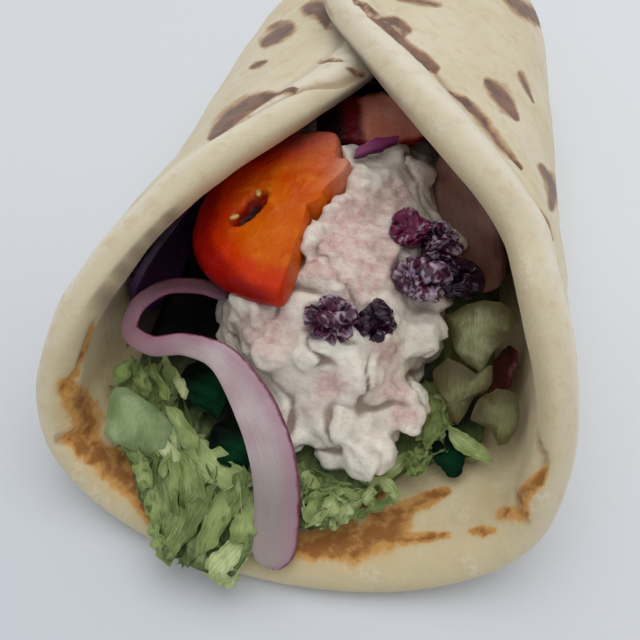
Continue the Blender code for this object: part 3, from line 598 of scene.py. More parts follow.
def shown_field(lines, inner):
    """For each vertex: 1 on the nearest mark's middle line, 0 at its border, less beyond."""
    field = np.full(len(flat_bread), UNMARKED)
    side = flat_bread[:, 2] > 0 if inner else flat_bread[:, 2] < 0
    for line, strength in lines:
        spots = [(np.array([px, py]), width) for px, py, width in line]
        field = stroke(field, side & bread_shows, bread_pixels, spots, strength)
    marked = np.flatnonzero((field > 0) & side)
    tree = kdtree.KDTree(len(marked))
    for number, index in enumerate(marked):
        tree.insert(flat_bread[index], number)
    tree.balance()
    for index in np.flatnonzero(side & ~bread_shows):
        _, number, gap = tree.find(flat_bread[index])
        field[index] = min(field[marked[number]], FADE_FROM) - gap / FADE
    return field


def crease_field(lines, inner):
    """For each vertex: 1 on a crease, 0 at its border. A crease is carried onto the flat bread."""
    field = np.full(len(flat_bread), UNMARKED)
    side = flat_bread[:, 2] > 0 if inner else flat_bread[:, 2] < 0
    for line, _ in lines:
        spots = [(on_flat_bread(px, py), width * MM) for px, py, width in line]
        spots = [(spot[:2], width) for spot, width in spots
                 if spot is not None and (spot[2] > 0) == inner]
        field = stroke(field, side, flat_bread[:, :2], spots, 1.0)
    return field


def add_hidden(field, inner, count, seed):
    """Marks of the same kind at seeded places that the photograph doesn't show."""
    rng = np.random.default_rng(seed)
    side = flat_bread[:, 2] > 0 if inner else flat_bread[:, 2] < 0
    candidates = np.flatnonzero(side)
    candidates = candidates[np.hypot(*flat_bread[candidates, :2].T) > BARE_MIDDLE]
    made = 0
    while made < count:
        index = rng.choice(candidates)
        if bread_shows[index]:
            continue
        start = flat_bread[index, :2]
        heading = rng.uniform(0, 2 * math.pi)
        spots = []
        for step in range(4):
            half_width = rng.uniform(*HIDDEN_HALF_WIDTHS) * MM * (0.5 if step in (0, 3) else 1.0)
            spots.append((start.copy(), half_width))
            heading += rng.uniform(*HIDDEN_TURNS)
            onward = np.array([math.cos(heading), math.sin(heading)])
            start = start + rng.uniform(*HIDDEN_STEPS) * MM * onward
        lone = np.full(len(field), UNMARKED)
        lone = stroke(lone, side, flat_bread[:, :2], spots, rng.uniform(*HIDDEN_STRENGTHS))
        if not np.any(bread_shows & (lone > -0.3)):
            field = np.maximum(field, lone)
            made += 1
    return field


scorched = add_hidden(shown_field(OUTSIDE_MARKS, False), False, HIDDEN_OUTSIDE, 31)
toasted = add_hidden(shown_field(INSIDE_MARKS, True), True, HIDDEN_INSIDE, 32)
creased_out = [crease_field([entry], False) for entry in OUTSIDE_CREASES]
creased_in = [crease_field([entry], True) for entry in INSIDE_CREASES]
inner_shows = bread_shows & (flat_bread[:, 2] > 0)
# painted shadow on the bread's inner face in view inside the hollow of the onion loop
hollow_shadow = inner_shows * np.array([within(px, py, SHADOWED_HOLLOW) for px, py in bread_pixels])
shaded = np.zeros(len(flat_bread))
for px, py, radius, strength in WALL_SHADES:
    apart = np.hypot(bread_pixels[:, 0] - px, bread_pixels[:, 1] - py)
    shaded = np.maximum(shaded, inner_shows * strength * np.exp(-((apart / radius) ** 2)))
print("marked vertices", int((scorched > 0).sum()), "outside and", int((toasted > 0).sum()), "inside")
print("creases:", len(creased_out), "outside and", len(creased_in), "inside")

# %% [markdown]
# ## The bread's relief
#
# Up close the bread isn't an even sheet. Its edge puffs into a roll, a crease runs where the roll
# meets the flat part, the crumb swells in soft blisters, and the fold pinches the corners of the
# mouth. All of this is moved along the thickness of the flat bread before it is folded, so it
# stays at right angles to the surface everywhere, and the underside still lies on the table.

# %% Fold the disc with its relief
ROLL_HEIGHT = 0.8 * MM
ROLL_WIDTH = 6.0 * MM
GROOVE_AT = 13.0 * MM
GROOVE_DEPTH = 0.8 * MM
GROOVE_WIDTH = 1.6 * MM
CREASE_FALL = 0.9
# Soft swells in the crumb, broad ones and small ones: height, then how fine the noise is.
BROAD_SWELL = (0.45 * MM, 45.0)
SMALL_SWELL = (0.22 * MM, 130.0)
# Blisters rise only where their noise goes past a level.
BLISTER_HEIGHT = 0.55 * MM
BLISTER_SCALE = 75.0
BLISTER_LEVEL = 0.28
BLISTER_SPAN = 0.4


def rolling_noise(places, scale, shift):
    """Noise from about -1 to 1 at each place, its patches about 1/scale across."""
    offset = Vector((shift, 2.3 * shift, 0.7 * shift))
    return np.array([noise.noise(Vector(p) * scale + offset) for p in places])


def crease_depth(lines, fields):
    """How deep each vertex lies in the creases, in metres."""
    depth = np.zeros(len(flat_bread))
    for (_, deepest), field in zip(lines, fields):
        away = 1.0 - field
        depth = np.maximum(depth, deepest * MM * np.exp(-CREASE_FALL * away ** 2))
    return depth


outer = flat_bread[:, 2] < 0
roll = ROLL_HEIGHT * np.exp(-(((from_edge - ROLL_WIDTH) / ROLL_WIDTH) ** 2))
hidden_groove = GROOVE_DEPTH * np.exp(-(((from_edge - GROOVE_AT) / GROOVE_WIDTH) ** 2))
shown_crease = crease_depth(OUTSIDE_CREASES, creased_out)
swell = (BROAD_SWELL[0] * rolling_noise(flat_bread, BROAD_SWELL[1], 3.0)
         + SMALL_SWELL[0] * rolling_noise(flat_bread, SMALL_SWELL[1], 8.0))
bubbles = rolling_noise(flat_bread, BLISTER_SCALE, 21.0)
blister = BLISTER_HEIGHT * np.maximum(bubbles - BLISTER_LEVEL, 0.0) / BLISTER_SPAN
outward = roll + swell + blister
# 0 on the middle line of the rim and 1 on the two faces, so that grooves end before the rim.
share = np.clip(np.abs(flat_bread[:, 2]) / half_thick, 0.0, 1.0)
inner_crease = crease_depth(INSIDE_CREASES, creased_in)
groove = np.where(outer, np.maximum(shown_crease, hidden_groove), inner_crease)
groove = groove * smooth(share, 0.0, 0.7)
outward -= groove
relieved = flat_bread.copy()
relieved[:, 2] += np.sign(flat_bread[:, 2]) * outward * share
relieved_fold = fold.place(relieved)
print("deepest groove", round(float(groove.max()) / MM, 2), "mm")

# %% [markdown]
# Two helpers serve every piece from here on. One stores values on a mesh for a finish to read.
# The other turns a bmesh into a finished piece with its material and says which imported solids it
# stands for and which body it rides on.

# %% Helpers that make a piece
SHARP_ABOVE = math.radians(42)


def keep(mesh, name, values):
    """Store one number, or one vector, for each vertex under a name that a material reads."""
    values = np.asarray(values, dtype=np.float32)
    kind = "FLOAT_VECTOR" if values.ndim == 2 else "FLOAT"
    store = mesh.attributes.new(name, kind, "POINT")
    store.data.foreach_set("vector" if values.ndim == 2 else "value", values.ravel())


def as_piece(name, bm, finish, nodes, crisp=False):
    """Make a finished piece from a bmesh: it stands for some CAD nodes and rides on the body."""
    mesh = bpy.data.meshes.new(name)
    bm.to_mesh(mesh)
    bm.free()
    mesh.shade_smooth()
    if crisp:
        mesh.set_sharp_from_angle(angle=SHARP_ABOVE)
    mesh.materials.append(finish)
    made = bpy.data.objects.new(name, mesh)
    bpy.context.scene.collection.objects.link(made)
    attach(made, "root")
    if nodes:
        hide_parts(*nodes)
    print(name, len(mesh.polygons), "faces")
    return made


print("edges sharper than", round(math.degrees(SHARP_ABOVE)), "degrees stay crisp")

# %% [markdown]
# ## The bread's finish
#
# Soft white-flour bread is a warm cream, a little yellower where it is thin and paler on the
# puffed rim. Painted shade makes it darker and yellower on the front lip and darker down in the
# creases, and a dust of flour lightens it in spots. Noise at three sizes mixes these tones, because
# one even colour would look like paper.

# %% Colour of the bread between its marks
def bread_cream(made, flat, inside, mottle, pores, broad):
    """Bare bread's colour: faces, rolled rim, flour, and painted shade on the front lip and creases."""
    back, depth, edge = made.part(flat, 1), made.part(flat, 2), made.kept("edge")
    patches = made.level(made.grain(38.0, 4.0, 0.55, at=flat), 0.36, 0.66)
    outer_cream = made.mix(patches, paint(229, 216, 187), paint(220, 205, 168))
    inner_cream = made.mix(patches, paint(222, 206, 165), paint(211, 191, 144))
    cream = made.mix(inside, outer_cream, inner_cream)
    rolled = made.mix(made.level(depth, -0.002, 0.003), paint(235, 225, 202), paint(214, 198, 158))
    floury = made.times(made.level(broad, 0.02, 0.2), made.level(pores, 0.42, 0.6))
    return made.layered(
        made.mix(made.level(edge, 0.006, 0.018), rolled, cream),
        # painted shade: the front lip is darker and yellower
        (made.level(back, -0.106, -0.118, 0.0, 0.85), (204, 188, 146)),
        (made.level(edge, 0.0015, 0.0065, 0.6, 0.0), (208, 192, 152)),
        (made.level(mottle, 0.48, 0.72, 0.0, 0.5), (206, 184, 144)),
        (made.times(floury, 0.28), (244, 238, 224)),
        # painted shade down in the creases
        (made.level(made.kept("groove"), 0.25, 1.4, 0.0, 0.7), (166, 136, 98)))


print("bare bread goes from", (229, 216, 187), "outside to", (211, 191, 144), "inside")

# %% [markdown]
# The marks are brown and grey outside, where the hot pan charred them, and golden inside. Their
# borders must be ragged, so the smooth value that the mesh carries is shifted by noise before it
# is cut into bands: a pale halo first, then the burnt or golden middle, then brown specks.

# %% Colour of the marks
def with_scorch(made, cream, ragged, broad, mottle):
    """The dark marks of the outside over the cream, and how charred each place is."""
    scorch = made.plus(made.kept("scorch"), ragged)
    scorch = made.plus(scorch, made.times(broad, 0.5))
    halo = made.level(scorch, -0.35, 0.15)
    charred = made.level(scorch, 0.02, 0.5)
    burnt = made.mix(made.level(mottle, 0.4, 0.62), paint(104, 74, 62), paint(136, 100, 80))
    colour = made.mix(made.times(halo, 0.8), cream, paint(186, 140, 96))
    return made.mix(made.times(charred, 0.94), colour, burnt), charred


def with_toast(made, colour, ragged, broad, mottle):
    """The golden marks of the inside over the colour so far, and how brown each place is."""
    toast = made.plus(made.kept("toast"), made.times(ragged, 1.2))
    toast = made.plus(toast, made.times(broad, 0.7))
    glow = made.level(toast, -0.9, 0.1)
    gold = made.level(toast, -0.22, 0.2)
    browned = made.level(made.plus(toast, made.swing(mottle, 2.4)), 0.1, 0.85)
    specks = made.times(made.times(browned, gold), 0.85)
    return made.layered(colour, (made.times(glow, 0.4), (216, 180, 116)),
                        (made.times(gold, 0.85), (208, 146, 58)), (specks, (142, 80, 14))), browned


print("scorch", (104, 74, 62), "and toast", (208, 146, 58))

# %% [markdown]
# The whole finish puts the marks over the bare colour and then paints shade over three kinds of
# place: the shaded spots of the wall, the wall that lies far in under the flaps, and the hollow
# inside the loop of onion, where the painted shadow is almost black. Fine pores in relief and a
# little sheen give the dry, matte surface.

# %% Bread material and piece
def bread_finish():
    made = Finish("soft_flatbread")
    flat = made.kept("flat", "Vector")
    back = made.part(flat, 1)
    inside = made.level(made.part(flat, 2), -0.001, 0.001)
    mottle = made.grain(240.0, 5.0, 0.6, at=flat)
    pores = made.grain(900.0, 3.0, 0.6, at=flat)
    ragged = made.minus(made.grain(300.0, 6.0, 0.62, 0.6, at=flat), 0.5)
    broad = made.minus(made.grain(110.0, 3.0, 0.5, at=flat), 0.5)
    cream = bread_cream(made, flat, inside, mottle, pores, broad)
    colour, charred = with_scorch(made, cream, ragged, broad, mottle)
    colour, browned = with_toast(made, colour, ragged, broad, mottle)
    # painted shade on the inner wall that lies far in under the flaps
    painted_wall_shade = made.times(made.level(back, -0.045, -0.008), made.level(back, 0.09, 0.05))
    painted_wall_shade = made.times(painted_wall_shade, made.times(inside, 0.85))
    colour = made.layered(colour, (made.kept("shaded"), (92, 72, 62)), (painted_wall_shade, (62, 30, 34)),
                          # painted shadow, almost black, in the hollow inside the loop of onion
                          (made.times(made.kept("hollow_shadow"), 0.95), (22, 10, 14)))
    height = made.plus(made.times(mottle, 0.6), made.times(pores, 0.4))
    height = made.minus(height, made.times(made.largest(charred, browned), 0.25))
    return made.wear(Base_Color=colour, Roughness=made.level(mottle, 0.3, 0.7, 0.62, 0.82),
                     Normal=made.relief(height, 0.5), Subsurface_Weight=0.12,
                     Subsurface_Radius=(0.006, 0.004, 0.0025), Subsurface_Scale=0.6,
                     Sheen_Weight=0.12, Sheen_Roughness=0.6)


for vert, co in zip(disc.verts, relieved_fold):
    vert.co = co
bread = as_piece("folded_bread", disc, bread_finish(), ["pita"])
keep(bread.data, "flat", flat_bread)
keep(bread.data, "edge", from_edge)
keep(bread.data, "groove", groove / MM)
keep(bread.data, "scorch", scorched)
keep(bread.data, "toast", toasted)
keep(bread.data, "hollow_shadow", hollow_shadow)
keep(bread.data, "shaded", shaded)

# %% [markdown]
# ## Thin pieces: one way for leaves, shreds and onion
#
# Leaves, shreds of lettuce and strips of onion are all thin bodies with a wide face. Each starts
# as a flat grid that is extruded into a closed slab. A function then lays the grid in space, and
# the two faces are set a thickness apart along its normals, so the piece can ruffle and curl and
# still be a closed solid. Every vertex keeps its place on the grid, so that ribs and coloured
# edges can follow the piece.

# %% Lay thin closed sheets
# How far along a sheet its slope is measured, on a sheet that goes from -1 to 1.
NEARBY = 0.01


def spot(x, s, z):
    """Point x across, s back from the lip and z up, all given in millimetres."""
    return np.array([x * MM, s * MM + LIP_Y, z * MM])


def unit(vectors):
    vectors = np.asarray(vectors, dtype=float)
    return vectors / (np.linalg.norm(vectors, axis=-1, keepdims=True) + 1e-12)


def rounded(thickness, thin_edge=0.85):
    """A thickness that eases off towards the edge of the sheet."""
    return lambda u, v: thickness * np.sqrt(1.0 - thin_edge * np.maximum(np.abs(u), np.abs(v)) ** 8)


def new_sheets():
    """An empty bmesh whose vertices keep where they are on their sheet, and a tag."""
    bm = bmesh.new()
    bm.verts.layers.float_vector.new("lay")
    return bm


def add_sheet(bm, columns, rows, place, thickness, tag=0.0):
    """One thin closed piece: a grid and its raised copy, laid on both sides of place(u, v)."""
    lay = bm.verts.layers.float_vector["lay"]
    below = bmesh.ops.create_grid(bm, x_segments=columns, y_segments=rows, size=1.0)["verts"]
    faces = list({face for vert in below for face in vert.link_faces})
    raised = bmesh.ops.extrude_face_region(bm, geom=faces)["geom"]
    above = [item for item in raised if isinstance(item, bmesh.types.BMVert)]
    for verts, side in ((below, -0.5), (above, 0.5)):
        u = np.array([vert.co.x for vert in verts])
        v = np.array([vert.co.y for vert in verts])
        slope_u = place(u + NEARBY, v) - place(u - NEARBY, v)
        slope_v = place(u, v + NEARBY) - place(u, v - NEARBY)
        normal = unit(np.cross(slope_u, slope_v))
        laid = place(u, v) + normal * (side * thickness(u, v))[:, None]
        for vert, co, a, b in zip(verts, laid, u, v):
            vert.co = co
            vert[lay] = (a, b, tag)


def sheets_done(bm):
    bmesh.ops.recalc_face_normals(bm, faces=bm.faces[:])
    return bm


def sheet_piece(name, grid, place, thickness, finish, node, tag=0.0, thin_edge=0.85, crisp=True):
    """A piece of one thin sheet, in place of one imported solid."""
    bm = new_sheets()
    add_sheet(bm, *grid, place, rounded(thickness, thin_edge), tag)
    return as_piece(name, sheets_done(bm), finish, [node], crisp)


def through(points, t):
    """Points at t, from 0 to 1, on a smooth curve through the given points."""
    points = np.asarray(points, dtype=float)
    steps = np.concatenate([[0.0], np.cumsum(np.linalg.norm(np.diff(points, axis=0), axis=1))])
    return np.stack([curve(steps / steps[-1], points[:, k], t) for k in range(3)], axis=-1)


print("a thin sheet keeps", new_sheets().verts.layers.float_vector.keys())

# %% [markdown]
# Three ways of laying a sheet serve all the thin pieces: a ribbon along a route for shreds and
# strips, a piece cut to an outline in pixels for torn lettuce, and a blade with half widths along
# it for spinach and petals of onion. Each gives a function of where a vertex lies on the sheet.

# %% Ribbon, cut leaf and blade
def ribbon(points, widths, facing, ruffle=0.0, waves=3.0, phase=0.0, cup=0.0, torn=0.0, cap=0.2):
    """A strip along a route: its wide face turns to facing, its edges ruffle, its sides cup.

    Its ends are round over the share cap of half its length, or slanting and ragged where torn.
    """
    def place(u, v):
        t = (v + 1.0) / 2.0
        t = np.clip(t * (1.0 - abs(torn)) + abs(torn) * (0.5 + 0.5 * u * np.sign(torn)), 0.0, 1.0)
        here = through(points, t)
        before, after = np.maximum(t - 0.02, 0.0), np.minimum(t + 0.02, 1.0)
        forward = unit(through(points, after) - through(points, before))
        across = unit(np.cross(forward, np.asarray(facing, dtype=float)))
        out = np.cross(across, forward)
        width = np.interp(t, np.linspace(0, 1, len(widths)), widths)
        end = np.minimum(np.abs(v), 1.0)
        if torn:
            uneven = 0.08 * np.sin(15 * t + 3 * phase) + 0.04 * np.sin(37 * t + phase)
            width = width * (1.0 - 0.3 * end ** 6 + uneven)
        else:
            width = width * np.sqrt(1.0 - 0.998 * np.maximum((end - 1.0 + cap) / cap, 0.0) ** 2)
        edge = np.abs(u) ** 1.5
        lift = cup * u * u + ruffle * edge * np.sin(waves * 2 * math.pi * t + phase + 1.3 * np.sign(u))
        return here + across * (u * width / 2)[:, None] + out * lift[:, None]
    return place


def reach_to(corners, angle):
    """How far a closed outline lies from its middle in each direction."""
    ahead_x, ahead_y = np.cos(angle), np.sin(angle)
    reach = np.full(len(angle), np.inf)
    for (px, py), (qx, qy) in zip(corners, np.roll(corners, -1, axis=0)):
        ex, ey = qx - px, qy - py
        turn = ahead_x * ey - ahead_y * ex
        turn = np.where(np.abs(turn) < 1e-12, 1e-12, turn)
        distance = (px * ey - py * ex) / turn
        share = (px * ahead_y - py * ahead_x) / turn
        hit = (distance > 0) & (share >= -1e-6) & (share <= 1 + 1e-6)
        reach = np.where(hit, np.minimum(reach, distance), reach)
    return reach


def cut_leaf(outline, centre, facing, cup=0.0, wave=0.0, seed=0.0):
    """A piece of leaf in a plane of its own, its outline given by the pixels where it shows."""
    out = unit(facing)
    across = unit(np.cross((0.0, 1.0, 0.3), out))
    forward = np.cross(out, across)
    middle = Vector(centre)
    corners = []
    for px, py in outline:
        ray = sight(px, py)
        distance = (middle - CAMERA_PLACE).dot(Vector(out)) / ray.dot(Vector(out))
        offset = CAMERA_PLACE + ray * distance - middle
        corners.append((np.array(offset) @ across, np.array(offset) @ forward))
    corners = np.array(corners)
    pleat = np.array([math.cos(1.3 * seed), math.sin(1.3 * seed)])

    def place(u, v):
        a, b = u * np.sqrt(1.0 - 0.46 * v * v), v * np.sqrt(1.0 - 0.46 * u * u)
        angle, share = np.arctan2(b, a), np.hypot(a, b)
        reach = share * reach_to(corners, angle)
        folded = np.sqrt((a * pleat[0] + b * pleat[1]) ** 2 + 0.004)
        lift = cup * share ** 2 + wave * share ** 2 * np.sin(3.0 * angle + seed) - 2.2 * wave * folded
        lift = lift + 0.3 * wave * np.sin(4.0 * a + 7.0 * b + seed)
        sideways, onward = reach * np.cos(angle), reach * np.sin(angle)
        return (centre + across * sideways[:, None] + forward * onward[:, None]
                + out * lift[:, None])
    return place


def blade(centre, along, facing, length, halves, cup=0.0, wave=0.0, bend=0.0, seed=0.0):
    """A leaf or petal: its half width is read from a short list along its length."""
    forward = unit(along)
    across = unit(np.cross(forward, unit(facing)))
    out = np.cross(across, forward)
    halves = np.asarray(halves, dtype=float)

    def place(u, v):
        ragged = (1.0 + 0.05 * np.sin(9.0 * v + 2.0 * seed + np.sign(u))
                  + 0.03 * np.sin(23.0 * v + 5.0 * seed))
        half = curve(np.linspace(-1, 1, len(halves)), halves, v) * ragged
        end = v * (1.0 - 0.10 * u * u)
        lift = cup * u * u - bend * end * end
        lift = lift + wave * np.abs(u) ** 1.6 * np.sin(5.0 * v + 2.4 * np.sign(u) + 1.7 * seed)
        lift = lift + 0.25 * wave * np.sin(11.0 * v + 6.0 * u + seed)
        return (centre + across * (u * half)[:, None] + forward * (end * length / 2)[:, None]
                + out * lift[:, None])
    return place


print("ways to lay a sheet:", ribbon.__name__, cut_leaf.__name__, blade.__name__)

# %% [markdown]
# ## Chicken salad
#
# The salad is shredded chicken bound in a thick dressing: soft curds of many sizes that run into
# each other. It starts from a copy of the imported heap, so its form and the room it leaves for the
# other pieces stay. Hundreds of small lumps are set into its skin, a voxel remesh melts them into
# one body, and noise breaks up the surface. Modelling each curd by hand wouldn't look as loose.

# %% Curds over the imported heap
SALAD_VOXEL = 0.8 * MM
# Sizes of curd: (how many, smallest radius, largest radius), radii in millimetres.
SHOWN_CURDS = [(60, 3.0, 5.4), (130, 1.7, 3.0), (220, 0.9, 1.7)]
BACK_CURDS = [(24, 2.6, 4.6), (60, 1.2, 2.4)]
# Places on the salad that are pinker, by pixel across, pixel down and radius in pixels.
BLUSHES = [(372, 262, 40), (348, 246, 22), (396, 196, 22), (352, 215, 26), (385, 352, 20),
           (410, 415, 16), (396, 392, 18), (330, 385, 16), (322, 262, 18), (262, 330, 26)]
# Curds aren't set where the heap faces down. The front part shows and gets the finer ones.
FACING_DOWN = -0.35
SHOWS_BEFORE = 8 * MM
# A big curd sinks deeper, and none comes nearer to another piece than its own size.
BIG_CURD = 2.6 * MM
SINK_BIG, SINK_SMALL = 0.62, 0.3
CLEARANCE = 0.95


def solid_copy(*nodes):
    """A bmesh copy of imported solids, their loose triangles joined."""
    bm = bmesh.new()
    for node in nodes:
        bm.from_mesh(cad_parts[node].data)
    bmesh.ops.remove_doubles(bm, verts=bm.verts[:], dist=0.001 * MM)
    return bm


def settled(made):
    """Apply a piece's modifiers, so that its mesh can be worked on."""
    bpy.context.view_layer.update()
    graph = bpy.context.evaluated_depsgraph_get()
    mesh = bpy.data.meshes.new_from_object(made.evaluated_get(graph))
    made.modifiers.clear()
    made.data = mesh
    return made


def nearest_gap(tree, place):
    return tree.find_nearest(Vector(place))[3]


loose_nodes = [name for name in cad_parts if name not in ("pita", "lettuce", "chicken_salad")]
berry_nodes = [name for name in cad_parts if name.startswith("cranberry")]
loose_solids = solid_copy(*[name for name in loose_nodes if name not in berry_nodes])
loose_tree = BVHTree.FromBMesh(loose_solids)
berry_tree = BVHTree.FromBMesh(solid_copy(*berry_nodes))
rng = np.random.default_rng(7)
heap = solid_copy("chicken_salad")
heap_faces = [face for face in heap.faces if face.normal.z > FACING_DOWN]
areas = np.array([face.calc_area() for face in heap_faces])
middles = np.array([face.calc_center_median() for face in heap_faces])
shown = middles[:, 1] < SHOWS_BEFORE
added = []
for sizes, share in ((SHOWN_CURDS, areas * shown), (BACK_CURDS, areas * ~shown)):
    for count, smallest, largest in sizes:
        for index in rng.choice(len(heap_faces), size=count, p=share / share.sum()):
            face = heap_faces[index]
            weights = rng.dirichlet((1.0, 1.0, 1.0))
            place = sum((corner.co * float(w) for corner, w in zip(face.verts, weights)), Vector())
            radius = rng.uniform(smallest, largest) * MM
            sunk = (SINK_BIG if radius > BIG_CURD else SINK_SMALL) * radius
            middle = place - face.normal * sunk
            if nearest_gap(loose_tree, middle) < CLEARANCE * radius:
                continue
            stretch = rng.uniform(0.65, 1.1, 3)
            turn = rng.uniform(0, 3.1, 2)
            added.append((middle, radius, stretch, turn))
for place, radius, stretch, turn in added:
    shape = (Matrix.Translation(place) @ Matrix.Rotation(turn[0], 4, "Z") @ Matrix.Rotation(turn[1], 4, "X")
             @ Matrix.Diagonal((*(radius * stretch), 1.0)))
    bmesh.ops.create_icosphere(heap, subdivisions=2, radius=1.0, matrix=shape)
print("curds set into the heap:", len(added))


# %% [markdown]
# The finish of the salad: cream with a blush. The dried berries bleed into the dressing, so the
# colour runs from off-white to mauve pink, deepest near a berry. Painted shade darkens it down in
# the creases and far back under the flaps. The mesh carries how deep in a crease each vertex lies,
# how near a berry it is and where the photograph has a pinker place, and noise mixes them.

# %% Salad material
def salad_finish():
    made = Finish("creamy_chicken_salad")
    crevice_shade = made.kept("crevice_shade")
    stain = made.kept("stain")
    blush = made.kept("blush")
    cloud = made.grain(110.0, 4.0, 0.55, 0.6)
    fleck = made.grain(460.0, 5.0, 0.6, 0.5)
    strands = made.grain(1.0, 4.0, 0.6, 1.2, at=made.stretched(made.place(), (300.0, 760.0, 420.0)))
    fibre = made.grain(1500.0, 2.0, 0.5)
    pink = made.plus(blush, made.swing(cloud, 1.6))
    streaked = made.plus(made.times(strands, 0.6), made.times(fleck, 0.6))
    blushing = made.times(made.level(pink, 0.1, 1.0), made.level(streaked, 0.42, 0.72, 0.4, 1.0))
    fleshy = made.times(made.level(pink, 0.3, 0.9), made.level(fleck, 0.52, 0.74))
    bled = made.plus(stain, made.swing(fleck, 1.4))
    back = made.part(made.place(), 1)
    # painted shade far back under the flaps
    painted_flap_shade = made.times(made.level(back, -0.024, -0.006), made.level(back, 0.06, 0.03))
    colour = made.layered(
        made.mix(made.level(cloud, 0.40, 0.62), paint(244, 237, 222), paint(233, 222, 207)),
        (made.level(strands, 0.50, 0.70, 0.0, 0.3), (204, 186, 166)),
        (made.level(fleck, 0.52, 0.70, 0.0, 0.35), (198, 176, 158)),
        (made.times(blushing, 0.75), (214, 168, 162)),
        (made.times(fleshy, 0.45), (192, 126, 124)),
        (made.level(bled, 0.5, 1.2, 0.0, 0.6), (150, 104, 124)),
        # painted shade down in the creases
        (made.level(crevice_shade, 0.25, 0.9, 0.0, 0.8), (136, 110, 92)),
        (painted_flap_shade, (66, 30, 34)))
    height = made.plus(made.times(strands, 0.35), made.times(fleck, 0.6))
    height = made.plus(height, made.times(fibre, 0.12))
    return made.wear(Base_Color=colour, Roughness=made.level(fleck, 0.35, 0.7, 0.34, 0.58),
                     Normal=made.relief(height, 0.7), Subsurface_Weight=0.25,
                     Subsurface_Radius=(0.004, 0.0025, 0.002), Subsurface_Scale=0.5, Coat_Weight=0.1,
                     Coat_Roughness=0.3, Specular_IOR_Level=0.35)


salad = as_piece("creamy_salad", heap, salad_finish(), ["chicken_salad"])

# %% [markdown]
# Now the curds melt together: a voxel remesh makes one skin of them, and smoothing takes its
# steps away. Then each vertex moves along its normal by chunks, the seams between them, lumps,
# fibres of chicken and crumbs. The smooth curds alone would look like dough.

# %% Melt and roughen the salad
# Relief in millimetres, then how fine the noise of each is.
CHUNKS, LUMPS, FIBRES, CRUMBS, SEAMS = 0.75, 0.65, 0.2, 0.36, 1.2
CHUNK_SCALE, LUMP_SCALE, CRUMB_SCALE, SEAM_SCALE = 150.0, 290.0, 430.0, 105.0
FIBRE_SCALES = (380.0, 1100.0, 520.0)
BEND_SCALE = 70.0
BEND_REACH = 3.0 * MM
SEAM_WIDTH = 0.075
SMOOTH_ROUNDS = 5
STAIN_REACH = 1.8 * MM

remesh = salad.modifiers.new("melt", "REMESH")
remesh.mode = "VOXEL"
remesh.voxel_size = SALAD_VOXEL
settled(salad)
melted = bmesh.new()
melted.from_mesh(salad.data)
for _ in range(SMOOTH_ROUNDS):
    bmesh.ops.smooth_vert(melted, verts=melted.verts[:], factor=0.5,
                          use_axis_x=True, use_axis_y=True, use_axis_z=True)
melted.normal_update()
far = Vector((4.0, 11.0, 9.0))
moves, crevice_shades, stains, blushes = [], [], [], []
for vert in melted.verts:
    here = vert.co
    drift = Vector((noise.noise(here * BEND_SCALE), noise.noise(here * BEND_SCALE + far), 0.0))
    bent = here + drift * BEND_REACH
    chunky = noise.noise(bent * CHUNK_SCALE + far)
    seam = math.exp(-((noise.noise(bent * SEAM_SCALE) / SEAM_WIDTH) ** 2))
    seam *= float(smooth(noise.noise(here * 75.0), -0.25, 0.15))
    lumpy = noise.noise(bent * LUMP_SCALE - far)
    fibrous = noise.noise(Vector([bent[k] * FIBRE_SCALES[k] for k in range(3)]))
    px, py = shows_at(here)
    blush = sum(math.exp(-((px - x) ** 2 + (py - y) ** 2) / size ** 2) for x, y, size in BLUSHES)
    crumbled = (1.0 + 1.3 * min(blush, 1.0)) * noise.noise(here * CRUMB_SCALE + far)
    moves.append((CHUNKS * chunky - SEAMS * seam + LUMPS * lumpy + FIBRES * fibrous
                  + CRUMBS * crumbled) * MM)
    # how deep in a crease each vertex lies, for painted shade
    crevice_shades.append(0.15 + 0.75 * seam - 0.45 * chunky - 0.35 * lumpy)
    stains.append(math.exp(-((nearest_gap(berry_tree, here) / STAIN_REACH) ** 2)))
    blushes.append(blush)
for vert, moved in zip(melted.verts, moves):
    vert.co += vert.normal * moved
melted.to_mesh(salad.data)
melted.free()
salad.data.shade_smooth()
keep(salad.data, "crevice_shade", crevice_shades)
keep(salad.data, "stain", stains)
keep(salad.data, "blush", np.clip(blushes, 0, 1))
print("salad", len(salad.data.polygons), "faces")

# %% [markdown]
# ## Lettuce
#
# Four leaves share one finish with different greens: pale shreds, a green leaf, a cream inner
# leaf and dark spinach. A leaf has faint ribs along it, soft clouds of tone and a darker edge.
# Both the ribs and the edge read where a place lies on its sheet, so they follow every curl.

